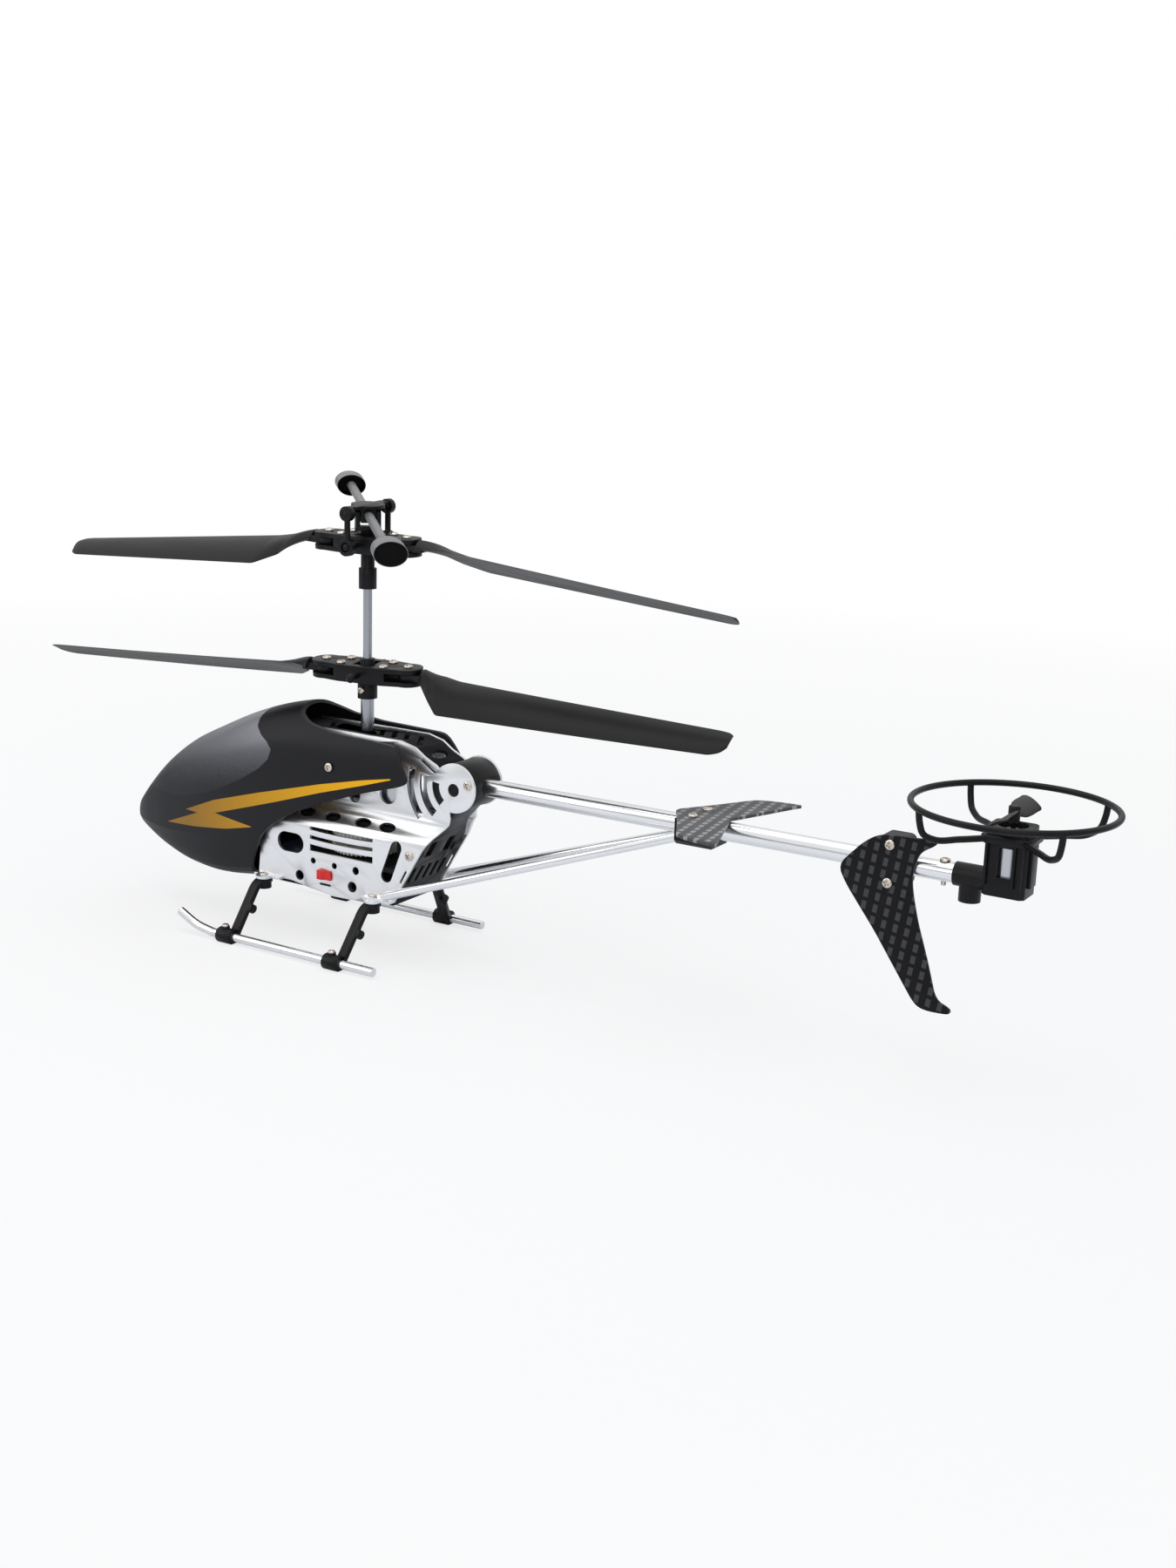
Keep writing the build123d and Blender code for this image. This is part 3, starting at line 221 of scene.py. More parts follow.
def set_stops(ramp, stops):
    """Give a colour ramp its stops: (place, colour or grey value)."""
    ramp.elements[0].position, ramp.elements[1].position = stops[0][0], stops[-1][0]
    for place, _ in stops[1:-1]:
        ramp.elements.new(place)
    for place, value in stops:
        element = min(ramp.elements, key=lambda e: abs(e.position - place))
        grey = isinstance(value, (int, float))
        element.color = (value, value, value, 1) if grey else (*value, 1)


print("signal operators ready")

# %% [markdown]
# ## Places, grain and relief
# Finishes are laid out in the part's own millimetres, taken from object coordinates, so a grain keeps its
# real size and turns with a part that moves. Noise stretched along one axis gives drawn or brushed metal;
# noise alike in all directions gives moulded plastic.

# %% Places, grain and relief


def places(finish):
    """Object coordinates in millimetres: (vector, x from the mast, y, z)."""
    spot = finish.node("ShaderNodeTexCoord", {}, out="Object")
    spot = finish.node("ShaderNodeVectorMath", {"operation": "SCALE"}, spot, Scale=1 / MM)
    apart = [finish.node("ShaderNodeSeparateXYZ", {}, spot, out=axis) for axis in "XYZ"]
    return spot, apart[0] - MAST_X / MM, apart[1], apart[2]


def grain(finish, spot, scale, detail=2.0, stretch=(1, 1, 1), turn=(0, 0, 0)):
    """Noise with about that many features per millimetre; a small stretch value draws it out on that axis."""
    laid = finish.node("ShaderNodeMapping", {}, spot, (0, 0, 0), turn, stretch)
    return finish.node("ShaderNodeTexNoise", {}, out="Fac", Vector=laid, Scale=scale, Detail=detail)


def blend_colour(finish, first, second, share):
    """Colour between two, by a share from 0 to 1."""
    made = finish.node("ShaderNodeMix", {"data_type": "RGBA"}, out=2)
    sockets = made.socket.node.inputs
    finish.feed(sockets[0], share)
    finish.feed(sockets[6], first)
    finish.feed(sockets[7], second)
    return made


def relief(finish, height, depth, strength=1.0):
    """Surface normal from a height signal, with a depth in millimetres."""
    return finish.node("ShaderNodeBump", {}, Height=height, Distance=depth * MM, Strength=strength)


def surface(finish, **sockets):
    """Close a finish with the standard surface shader and return its material."""
    shader = finish.node("ShaderNodeBsdfPrincipled", {}, **sockets)
    finish.node("ShaderNodeOutputMaterial", {}, shader)
    return finish.material


print("grain and relief helpers ready")

# %% [markdown]
# ## Floor, backdrop and light
# A craft of polished metal and black plastic is lit by large soft sources: polished metal shows only what
# stands around it. The world is white to the eye, and for reflections it is a studio: a dim band near the
# horizon between a white floor and a bright ceiling. The dim band draws the dark lines along the tubes.

# %% Floor, backdrop and light
world = bpy.data.worlds.new("studio")
world.use_nodes = True
bpy.context.scene.world = world
studio = Finish("studio", world.node_tree)
heading = studio.node("ShaderNodeTexCoord", {}, out="Generated")
height = studio.node("ShaderNodeSeparateXYZ", {}, heading, out="Z")
room = studio.node("ShaderNodeValToRGB", {"ease": "EASE", "stops": [
    (0.0, 0.95), (0.485, 0.92), (0.515, 0.14), (0.545, 0.22), (0.585, 0.8), (1.0, 0.9)]}, height * 0.5 + 0.5)
seen = studio.node("ShaderNodeLightPath", {}, out="Is Camera Ray")
through = studio.node("ShaderNodeLightPath", {}, out="Is Transmission Ray")
glossy = studio.node("ShaderNodeLightPath", {}, out="Is Glossy Ray")
ambient = blend_colour(studio, (0.62, 0.64, 0.68), room, glossy)
colour = blend_colour(studio, ambient, (1.0, 1.0, 1.0), seen.most(through))
backdrop = studio.node("ShaderNodeBackground", {}, colour, 1.0)
studio.node("ShaderNodeOutputWorld", {}, backdrop)


def softbox(name, spot, aim, wide, tall, power):
    """Rectangular soft light at a spot, turned towards an aim."""
    lamp = bpy.data.lights.new(name, "AREA")
    lamp.shape = "RECTANGLE"
    lamp.size, lamp.size_y, lamp.energy = wide, tall, power
    box = bpy.data.objects.new(name, lamp)
    box.location = spot
    box.rotation_euler = (aim - spot).to_track_quat("-Z", "Y").to_euler()
    bpy.context.scene.collection.objects.link(box)


centre = at(-60, 0, 70)
softbox("ceiling_box", at(-40, 60, 900), centre, 0.9, 0.7, 2.6)
softbox("front_box", at(560, 520, 430), centre, 0.5, 0.6, 1.1)
softbox("side_box", at(-420, 760, 330), centre, 0.5, 0.4, 0.6)

floor_mesh = bmesh.new()
bmesh.ops.create_circle(floor_mesh, cap_ends=True, segments=96, radius=5)
floor_data = bpy.data.meshes.new("floor")
floor_mesh.to_mesh(floor_data)
floor_mesh.free()
floor_piece = bpy.data.objects.new("floor", floor_data)
floor_piece.location.z = CAD_BOX[0].z
bpy.context.scene.collection.objects.link(floor_piece)
paper = Finish("floor_paper")
spot, fx, fy, _ = places(paper)
tooth = grain(paper, spot, 0.2)
sheen = blend_colour(paper, (0.86, 0.86, 0.86), (0.88, 0.88, 0.88), tooth)
matte = paper.node("ShaderNodeBsdfDiffuse", {}, sheen)
glow = paper.node("ShaderNodeEmission", {}, (1, 1, 1), 1.0)
eye = paper.node("ShaderNodeLightPath", {}, out="Is Camera Ray")
from_centre = (fx + 60) * (fx + 60) + fy * fy
away = from_centre.math("SQRT", from_centre).above(600, 700)
GLOW_NEAR, GLOW_FAR = 0.72, 1.0
glow_share = GLOW_NEAR + away * (GLOW_FAR - GLOW_NEAR)
seen_floor = paper.node("ShaderNodeMixShader", {}, eye * glow_share, matte, glow)
paper.node("ShaderNodeOutputMaterial", {}, seen_floor)
floor_data.materials.append(paper.material)
print("floor at", round(floor_piece.location.z, 5))

# %% [markdown]
# ## Moulded black plastic
# Clamps, legs, hubs and the ring are injection moulded in black plastic. A fine spark-eroded texture on the
# mould gives the part its satin look, so the finish is a nearly black colour with a tiny pebbled relief and
# a gloss that drifts a little over the surface, as mould cooling leaves it.

# %% Moulded black plastic


def moulded(name, colour, lighter, gloss, depth, scale=3.0, gleam=0.25):
    """Satin moulded plastic: cloudy colour, uneven gloss, pebbled relief."""
    finish = Finish(name)
    spot, _, _, _ = places(finish)
    cloud = grain(finish, spot, 0.12)
    pebble = grain(finish, spot, scale, 3)
    return surface(finish, Base_Color=blend_colour(finish, colour, lighter, cloud * 0.7 + pebble * 0.3),
                   Roughness=gloss + (cloud - 0.5) * 0.16, Normal=relief(finish, pebble, depth, 0.6),
                   Specular_IOR_Level=gleam)


black_satin = moulded("black_satin", (0.003, 0.003, 0.004), (0.008, 0.008, 0.009), 0.36, 0.02, gleam=0.2)
black_deck = moulded("black_deck", (0.012, 0.012, 0.013), (0.024, 0.024, 0.026), 0.65, 0.03, gleam=0.05)
core_black = moulded("core_black", (0.001, 0.001, 0.001), (0.003, 0.003, 0.003), 0.6, 0.02, gleam=0.1)
signal_red = moulded("signal_red", (0.62, 0.008, 0.01), (0.82, 0.02, 0.02), 0.3, 0.01, gleam=0.5)
gear_nylon = moulded("gear_nylon", (0.62, 0.61, 0.55), (0.75, 0.74, 0.68), 0.45, 0.01)
heat_shrink = moulded("heat_shrink", (0.03, 0.05, 0.1), (0.05, 0.08, 0.15), 0.33, 0.05, scale=0.6)
plastics = (black_satin, black_deck, core_black, signal_red, gear_nylon, heat_shrink)
print("plastics:", [plastic.name for plastic in plastics])

# %% [markdown]
# ## Rotor blade plastic
# The blades are a tougher nylon with a finer, drier surface. Long flow lines run from the hub, where the
# mould was filled, towards the tip. The thin trailing edge, polished a little by handling, has the same
# finish as the rest.

# %% Rotor blade plastic
blade_finish = Finish("blade_nylon")
spot, _, _, _ = places(blade_finish)
flow = grain(blade_finish, spot, 0.35, 2, (0.12, 1, 1))
tooth = grain(blade_finish, spot, 4.5, 3)
blade_mottle = flow * 0.6 + tooth * 0.4
blade_colour = blend_colour(blade_finish, (0.006, 0.006, 0.007), (0.013, 0.013, 0.014), blade_mottle)
blade_nylon = surface(blade_finish, Base_Color=blade_colour, Roughness=0.40 + (flow - 0.5) * 0.14,
                      Normal=relief(blade_finish, tooth, 0.015, 0.5), Specular_IOR_Level=0.2)
print("blade finish:", blade_nylon.name)

# %% [markdown]
# ## Metals
# The side plates are sheet aluminium with a faint rolled grain; boom, struts and skids are bright drawn
# tube, whose marks run lengthwise; shafts are ground steel, with marks round them; motor cans are pressed
# steel, pinions brass and the small screws nickel plated. One recipe serves all: stretched noise moves the
# gloss and the relief.

# %% Metals


def drawn_metal(name, colour, darker, gloss, stretch, scale=6.0):
    """Metal with a grain drawn out along the axis that has the small stretch value."""
    finish = Finish(name)
    spot, _, _, _ = places(finish)
    lines = grain(finish, spot, scale, 3, stretch)
    stain = grain(finish, spot, 0.08, 2)
    return surface(finish, Base_Color=blend_colour(finish, darker, colour, stain * 0.5 + lines * 0.5),
                   Metallic=1.0, Roughness=gloss + (lines - 0.5) * 0.06 + (stain - 0.5) * 0.06,
                   Normal=relief(finish, lines, GRAIN_DEPTH, 0.4))


GRAIN_DEPTH = 0.002
sheet_bright = drawn_metal("sheet_bright", (0.92, 0.93, 0.95), (0.85, 0.86, 0.88), 0.34, (0.05, 1, 1))
tube_bright = drawn_metal("tube_bright", (0.91, 0.92, 0.94), (0.83, 0.84, 0.86), 0.20, (0.04, 1, 1))
shaft_ground = drawn_metal("shaft_ground", (0.46, 0.48, 0.51), (0.34, 0.36, 0.39), 0.26, (0.6, 0.6, 4))
can_steel = drawn_metal("can_steel", (0.60, 0.62, 0.65), (0.48, 0.50, 0.54), 0.30, (1, 1, 0.05))
nickel = drawn_metal("nickel", (0.72, 0.66, 0.60), (0.58, 0.52, 0.46), 0.24, (1, 1, 1), 3.0)
cut_brass = drawn_metal("cut_brass", (0.72, 0.52, 0.24), (0.60, 0.42, 0.18), 0.28, (1, 1, 0.1))
metals = (sheet_bright, tube_bright, shaft_ground, can_steel, nickel, cut_brass)
print("metals:", [metal.name for metal in metals])

# %% [markdown]
# ## Satin grey flybar
# The flybar and its weights carry a thin grey satin coat. The coat is part metal: it darkens towards the
# sides of a round bar, as a smoked lacquer over metal does.

# %% Satin grey flybar
bar_finish = Finish("flybar_grey")
spot, _, _, _ = places(bar_finish)
haze = grain(bar_finish, spot, 1.2, 3)
bar_colour = blend_colour(bar_finish, (0.16, 0.16, 0.163), (0.235, 0.235, 0.24), haze)
flybar_grey = surface(bar_finish, Base_Color=bar_colour, Metallic=0.3, Roughness=0.38 + (haze - 0.5) * 0.12,
                      Normal=relief(bar_finish, haze, 0.01, 0.4))
print("flybar finish:", flybar_grey.name)

# %% [markdown]
# ## Woven carbon look
# Stabilizer and fin are plates with a plain weave under clear lacquer. Two sets of flat tows cross: where the
# one that catches the light is on top, its sheen is painted into the colour as a pale fleck, and the rest
# stays dark. Dividing by the step and keeping the remainder folds the plate onto one cell of the weave; a
# fine wave draws the fibres inside it, and the lacquer is a thin coat over everything.

# %% Woven carbon look
WEAVE_STEP, WEAVE_TURN = 3.65, radians(9)
FLECK_U, FLECK_V, FLECK_EDGE = 0.20, 0.34, 0.05
FIBRES = 60


def carbon(name, down, dark, light, gloss):
    """Weave of flat tows on a plate that spans x and the coordinate called down (1 for y, 2 for z)."""
    finish = Finish(name)
    spot, *apart = places(finish)
    along, across = apart[0], apart[down]
    u = (along * cos(WEAVE_TURN) + across * sin(WEAVE_TURN)) / WEAVE_STEP
    v = (across * cos(WEAVE_TURN) - along * sin(WEAVE_TURN)) / WEAVE_STEP
    inside_u, inside_v = abs(u % 1 - 0.5), abs(v % 1 - 0.5)
    fleck = (1 - inside_u.above(FLECK_U, FLECK_EDGE)) * (1 - inside_v.above(FLECK_V, FLECK_EDGE))
    swell = 1 - (inside_u * inside_u + inside_v * inside_v) * 1.7
    fibre = (u * FIBRES).wave() * fleck + (v * FIBRES).wave() * (1 - fleck)
    fuzz = grain(finish, spot, 1.6, 3)
    # painted sheen: the tow that catches the light is lightened into a pale fleck in the colour, with its
    # fibres drawn in it
    painted_sheen_tone = fleck * (0.66 + fibre * 0.16) * (0.7 + fuzz * 0.6) + fuzz * 0.08
    return surface(finish, Base_Color=blend_colour(finish, dark, light, painted_sheen_tone.most(0).least(1)),
                   Roughness=gloss - fleck * 0.08 + (fuzz - 0.5) * 0.1, Specular_IOR_Level=0.15,
                   Normal=relief(finish, swell + fibre * 0.05, 0.04, 0.4), Coat_Weight=0.05,
                   Coat_Roughness=0.2)


fin_weave = carbon("fin_weave", 2, (0.0015, 0.0015, 0.002), (0.075, 0.075, 0.08), 0.42)
stabilizer_weave = carbon("stabilizer_weave", 1, (0.060, 0.062, 0.064), (0.42, 0.42, 0.43), 0.38)
print("weaves:", fin_weave.name, stabilizer_weave.name)

# %% [markdown]
# ## Green circuit board
# Inside the body the circuit board shows between the holes: green solder mask with a lattice of bright
# tracks seen faintly through it.

# %% Green circuit board
board_finish = Finish("board_green")
spot, bx, _, bz = places(board_finish)
tracks = abs((bx * 0.9) % 1 - 0.5).above(0.36, 0.06) * abs((bz * 0.45) % 1 - 0.5).above(0.18, 0.05)
board_colour = blend_colour(board_finish, (0.008, 0.06, 0.025), (0.03, 0.17, 0.08), tracks)
board_gloss = 0.34 + grain(board_finish, spot, 1.5) * 0.12
board_green = surface(board_finish, Base_Color=board_colour, Roughness=board_gloss)
print("board finish:", board_green.name)

# %% [markdown]
# ## Pieces that stand for frame parts
# A frame part carries the mechanism; a dressed piece stands in front of it and rides on the same body. One
# helper does that bookkeeping, so no piece is left behind when a joint moves.

# %% Pieces that stand for frame parts
BODY_OF = {node: body for body, nodes in frame["record"]["behaviour"]["bodies"].items() for node in nodes}


def shade(mesh, angle):
    """Smooth shading, with a crisp edge wherever faces meet at more than the angle."""
    mesh.shade_smooth()
    mesh.set_sharp_from_angle(angle=radians(angle))


def add_piece(name, mesh, finish, node, angle=38):
    """Put a mesh in the scene with its finish, in place of a frame part."""
    shade(mesh, angle)
    mesh.materials.clear()
    mesh.materials.append(finish)
    piece = bpy.data.objects.new(name, mesh)
    bpy.context.scene.collection.objects.link(piece)
    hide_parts(node)
    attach(piece, BODY_OF[node])
    return piece


def as_mesh(name, points, faces):
    """Mesh data from points and faces, with its normals turned outwards."""
    mesh = bpy.data.meshes.new(name)
    mesh.from_pydata([tuple(p) for p in points], [], faces)
    work = bmesh.new()
    work.from_mesh(mesh)
    bmesh.ops.remove_doubles(work, verts=work.verts, dist=1e-7)
    bmesh.ops.recalc_face_normals(work, faces=work.faces)
    work.to_mesh(mesh)
    work.free()
    return mesh


# %% [markdown]
# ## Rounded edges
# No real part has a perfectly sharp edge: moulded parts leave the tool with a small radius and punched
# sheet is tumbled. That radius catches the light as a thin bright line, which is most of what makes an edge
# look real. Where the frame part's shape is right, the piece is its copy with the flat facets merged and
# the sharp edges bevelled.

# %% Rounded edges


def applied(name, mesh, modifiers):
    """Mesh after a list of (type, settings) modifiers."""
    carrier = bpy.data.objects.new(name, mesh)
    bpy.context.scene.collection.objects.link(carrier)
    for kind, settings in modifiers:
        modifier = carrier.modifiers.new(kind.lower(), kind)
        for key, value in settings.items():
            setattr(modifier, key, value)
    bpy.context.view_layer.update()
    done = bpy.data.meshes.new_from_object(carrier.evaluated_get(bpy.context.evaluated_depsgraph_get()))
    bpy.data.objects.remove(carrier)
    done.name = name
    return done


def welded(node):
    """Copy of a frame part's mesh with its seams welded and its flat facets merged."""
    work = bmesh.new()
    work.from_mesh(frame["nodes"][node].data)
    bmesh.ops.remove_doubles(work, verts=work.verts, dist=2e-6)
    bmesh.ops.dissolve_limit(work, angle_limit=radians(0.6), verts=work.verts, edges=work.edges)
    mesh = bpy.data.meshes.new(node)
    work.to_mesh(mesh)
    work.free()
    return mesh


def bevel(width):
    """Settings of a bevel that rounds sharp edges only, width in millimetres."""
    return ("BEVEL", {"width": width * MM, "segments": 2, "limit_method": "ANGLE", "angle_limit": radians(40),
                      "use_clamp_overlap": True, "miter_outer": "MITER_ARC"})


def eased(node, finish, width):
    """Stand-in for a frame part with its edges rounded."""
    mesh = applied(node, welded(node), [bevel(width)])
    return add_piece(node + "_eased", mesh, finish, node)


ROUNDINGS = {
    "top_deck": 0.15, "boom_clamp": 0.4, "rear_cover": 0.2, "belly_tray": 0.25, "gearbox": 0.2,
    "charge_socket": 0.2, "switch_body": 0.2, "stabilizer_clamp": 0.25, "fin_clamp": 0.25,
    "tail_housing": 0.3, "hub_carrier": 0.2, "rotor_head": 0.25, "lower_hub": 0.18, "upper_hub": 0.18,
    "flybar_yoke": 0.15,
    "link_left": 0.12, "link_right": 0.12, "leg_front_left": 0.4, "leg_front_right": 0.4,
    "leg_rear_left": 0.4, "leg_rear_right": 0.4, "strut_left": 0.12, "strut_right": 0.12, "tail_boom": 0.1,
    "tail_fin": 0.2,
}
not_satin = {"top_deck": black_deck, "gearbox": black_deck, "tail_fin": fin_weave}
not_satin.update({part: tube_bright for part in ("strut_left", "strut_right", "tail_boom")})
for part, rounding in ROUNDINGS.items():
    made = eased(part, not_satin.get(part, black_satin), rounding)
    print(made.name, len(made.data.polygons), "faces")

# %% [markdown]
# ## Parts that keep their frame mesh
# Shafts, gears, motor cans and the battery are plain turned, cut or wrapped shapes, most of them inside the
# body. Their frame meshes are already right, so they only take a finish.

# %% Parts that keep their frame mesh
kept_parts = {
    "motor_front": can_steel, "motor_rear": can_steel, "tail_motor": can_steel, "battery_pack": heat_shrink,
    "circuit_board": board_green, "outer_shaft": shaft_ground, "inner_shaft": shaft_ground,
    "outer_gear": gear_nylon, "inner_gear": gear_nylon, "pinion_rear": cut_brass, "pinion_front": cut_brass,
}
for part, part_finish in kept_parts.items():
    for slot_index in range(len(frame["nodes"][part].data.materials)):
        frame["nodes"][part].data.materials[slot_index] = part_finish
print(len(kept_parts), "parts keep their frame mesh")

# %% [markdown]
# ## Side plates
# Each side of the body is one blank of aluminium sheet, punched and then folded twice, so the lower half
# stands wider than the upper. A fold in sheet is never a knife edge: it runs round the tool's nose. The
# plate is cut across in fine rows near both folds and each row is moved onto the rounded profile.

# %% Side plates
WALL_Y, PANEL_Y = 8.2, 13.6
FOLD_HIGH, FOLD_LOW = 48.8, 42.8
FOLD_REACH = 2.4


def wall_profile(z):
    """Outer Y of the folded wall at a height, with sharp folds."""
    share = min(max((FOLD_HIGH - z) / (FOLD_HIGH - FOLD_LOW), 0), 1)
    return WALL_Y + (PANEL_Y - WALL_Y) * share


def ease_shift(z):
    """How far rounding moves the wall at a height: the profile averaged over the fold's reach."""
    steps = [z + FOLD_REACH * (i / 8 - 1) for i in range(17)]
    return sum(wall_profile(s) for s in steps) / len(steps) - wall_profile(z)


def folded_plate(node, side):
    work = bmesh.new()
    work.from_mesh(welded(node))
    rows = [fold + FOLD_REACH * i / 6 for fold in (FOLD_HIGH, FOLD_LOW) for i in range(-6, 7)]
    for z in rows:
        everything = work.verts[:] + work.edges[:] + work.faces[:]
        bmesh.ops.bisect_plane(work, geom=everything, dist=1e-7, plane_co=(0, 0, z * MM), plane_no=(0, 0, 1))
    for vert in work.verts:
        vert.co.y += side * ease_shift(vert.co.z / MM) * MM
    mesh = bpy.data.meshes.new(node)
    work.to_mesh(mesh)
    work.free()
    mesh = applied(node, mesh, [bevel(0.16)])
    return add_piece(node + "_folded", mesh, sheet_bright, node, 30)


for part, side in (("plate_left", 1), ("plate_right", -1)):
    made = folded_plate(part, side)
    print(made.name, len(made.data.polygons), "faces")

# %% [markdown]
# ## Smooth curves through known points
# Canopy and blades are drawn by a few known sections with a smooth skin between them. A cubic that meets
# every row with a matching slope gives that skin without bulging past the rows, which a looser spline would
# do.

# %% Smooth curves through known points


def smooth_rows(rows, x):
    """Columns of a table at x, on a smooth curve through its rows. The first column is x."""
    table = np.array(rows, float)
    slopes = np.gradient(table[:, 1:], table[:, 0], axis=0)
    i = int(np.clip(np.searchsorted(table[:, 0], x) - 1, 0, len(table) - 2))
    span = table[i + 1, 0] - table[i, 0]
    t = (x - table[i, 0]) / span
    start, end = table[i, 1:], table[i + 1, 1:]
    return (start * (2 * t**3 - 3 * t**2 + 1) + slopes[i] * span * (t**3 - 2 * t**2 + t)
            + end * (3 * t**2 - 2 * t**3) + slopes[i + 1] * span * (t**3 - t**2))


def smooth_path(points, count):
    """count + 1 points along a smooth curve through points."""
    spots = np.array([tuple(p) for p in points], float)
    reach = np.concatenate([[0], np.cumsum(np.linalg.norm(np.diff(spots, axis=0), axis=1))])
    rows = np.column_stack([reach, spots])
    return [smooth_rows(rows, s) for s in np.linspace(0, reach[-1], count + 1)]


print("smooth curve helpers ready")

# %% [markdown]
# ## Canopy shape
# The canopy is a thin vacuum-formed or moulded shell: round over the top, nearly upright at the sides, with
# a crease that runs back from the nose and a tucked chin below it. It is skinned from nine stations, inside
# and out, so that its rim shows a real wall thickness.

# %% Canopy skin
CANOPY_ROWS = [
    (-30, 17.2, 84.0, 40.0, 18.0), (0, 17.6, 83.6, 40.0, 18.0), (24, 17.6, 82.6, 38.5, 17.5),
    (42, 17.0, 77.8, 35.5, 16.5), (62, 15.2, 69.2, 31.5, 14.6), (78, 12.4, 60.8, 29.0, 16.6),
    (91, 9.4, 50.4, 28.6, 20.8), (101, 6.0, 39.6, 29.0, 25.2), (107.4, 2.6, 31.6, 29.6, 28.0),
]
REAR_X, NOSE_X, NOSE_START = -30.4, 107.4, 103.0
CANOPY_WALL = 1.2
CHIN_WIDE, CHIN_TUCK = 0.66, 0.18


def canopy_ring(x, inset):
    """Closed ring of (y, z) round the canopy at a station."""
    half, roof, crease, belly = smooth_rows(CANOPY_ROWS, x)
    blunt = sqrt(max(1 - (max(x - NOSE_START, 0) / (NOSE_X - NOSE_START)) ** 2, 0.0))
    half, roof, belly = half - inset, roof - inset, belly + inset
    rise = roof - crease
    over = [(0.98, 0.0), (0.98, 0.52), (0.86, 0.78), (0.50, 0.95), (0.0, 1.0)]
    top = [(half * w, crease + rise * h) for w, h in over]
    top += [(-y, z) for y, z in reversed(top[:-1])]
    tuck = belly + (crease - belly) * CHIN_TUCK
    low = [top[-1], (-half * CHIN_WIDE, tuck), (0, belly), (half * CHIN_WIDE, tuck), top[0]]
    ring = smooth_path(top, 48)[:-1] + smooth_path(low, 20)[:-1]
    centre_z = (crease + belly) / 2 + 0.6
    return [(y * blunt, centre_z + (z - centre_z) * blunt) for y, z in ring]


def canopy_skin(inset, nose, steps):
    """Rings of points from the rear edge to the nose."""
    stations = [REAR_X + (nose - REAR_X) * sin(pi / 2 * i / steps) for i in range(steps + 1)]
    return [[(x, y, z) for y, z in canopy_ring(x, inset)] for x in stations]


outside = canopy_skin(0, NOSE_X - 0.02, 96)
inside = canopy_skin(CANOPY_WALL, NOSE_X - 5.5, 60)
print("canopy rings:", len(outside), "outside,", len(inside), "inside")

# %% [markdown]
# ## Skins over rings
# Canopy, round stock, blades, screws and flat plates are all skins: a row of rings, each a closed loop of
# points, with a strip of faces between one ring and the next and a cap on both ends. They differ only in
# their rings, so the strip, the caps and the joining of several skins into one piece are written once.

# %% Skins over rings


def stitched(rings, base=0):
    """Faces between neighbouring rings of a skin."""
    size = len(rings[0])
    return [(base + r * size + i, base + r * size + (i + 1) % size,
             base + (r + 1) * size + (i + 1) % size, base + (r + 1) * size + i)
            for r in range(len(rings) - 1) for i in range(size)]


def skinned(rings):
    """Points and faces of a solid skinned over closed rings, with both ends capped."""
    size, total = len(rings[0]), len(rings) * len(rings[0])
    faces = stitched(rings) + [tuple(range(size)), tuple(range(total - size, total))]
    return [point for ring in rings for point in ring], faces


def joined(shapes):
    """Points and faces of several shapes together."""
    points, faces = [], []
    for shape_points, shape_faces in shapes:
        faces += [tuple(len(points) + i for i in face) for face in shape_faces]
        points += list(shape_points)
    return points, faces


def circle(sides):
    """Cosine and sine of evenly spaced angles."""
    return [(cos(2 * pi * k / sides), sin(2 * pi * k / sides)) for k in range(sides)]


print("a square tube of three rings has", len(skinned([circle(4)] * 3)[1]), "faces")

# %% [markdown]
# ## Trimming the canopy
# Seen from the side the shell ends in a swept ear behind the mast and a raked edge down to the chin.
# Trimming a finished skin with an outline is how the real shell is cut from its forming, and a Boolean does
# the same here.

# %% Trim the canopy
CANOPY_TRIM = [
    (-22.8, 75.0), (4.0, 75.9), (15.5, 77.6), (22.4, 80.6), (26.0, 90.0), (115.0, 90.0), (115.0, 5.0),
    (46.0, 5.0), (42.2, 21.2), (34.0, 35.6), (28.2, 40.8), (18.9, 46.4), (3.0, 52.8), (-12.9, 58.4),
    (-25.6, 62.0), (-28.6, 63.2), (-28.8, 65.6), (-26.9, 68.6),
]
CUT_SHARE, CUT_REACH = 0.25, 1.2


def softened(points):
    """Outline with every corner cut back a little, twice over."""
    for _ in range(2):
        cut = []
        for i, here in enumerate(points):
            there = points[(i + 1) % len(points)]
            near = min(CUT_SHARE, CUT_REACH / max(hypot(there[0] - here[0], there[1] - here[1]), 0.01))
            cut.append([h + (t - h) * near for h, t in zip(here, there)])
            cut.append([t + (h - t) * near for h, t in zip(here, there)])
        points = cut
    return points


def prism(outline, y0, y1):
    """Points and faces of a side outline carried across the body."""
    size = len(outline)
    points = [at(x, y, z) for y in (y0, y1) for x, z in outline]
    faces = [tuple(range(size)), tuple(range(2 * size - 1, size - 1, -1))]
    faces += [(i, i + size, (i + 1) % size + size, (i + 1) % size) for i in range(size)]
    return points, faces


size = len(outside[0])
shell_points = [at(*p) for ring in outside + inside for p in ring]
inner_base = len(outside) * size
shell_faces = stitched(outside, 0) + stitched(inside, inner_base)
shell_faces.append(tuple(range((len(outside) - 1) * size, len(outside) * size)))
shell_faces.append(tuple(range(inner_base + (len(inside) - 1) * size, inner_base + len(inside) * size)))
shell_faces += [(i, (i + 1) % size, inner_base + (i + 1) % size, inner_base + i) for i in range(size)]
shell = as_mesh("canopy_shell", shell_points, shell_faces)
cutter = bpy.data.objects.new("canopy_trim", as_mesh("canopy_trim", *prism(softened(CANOPY_TRIM), -30, 30)))
bpy.context.scene.collection.objects.link(cutter)
keep = {"operation": "INTERSECT", "solver": "EXACT", "object": cutter}
trimmed = applied("canopy_shell", shell, [("BOOLEAN", keep)])
bpy.data.objects.remove(cutter)
print("trimmed canopy:", len(trimmed.polygons), "faces")

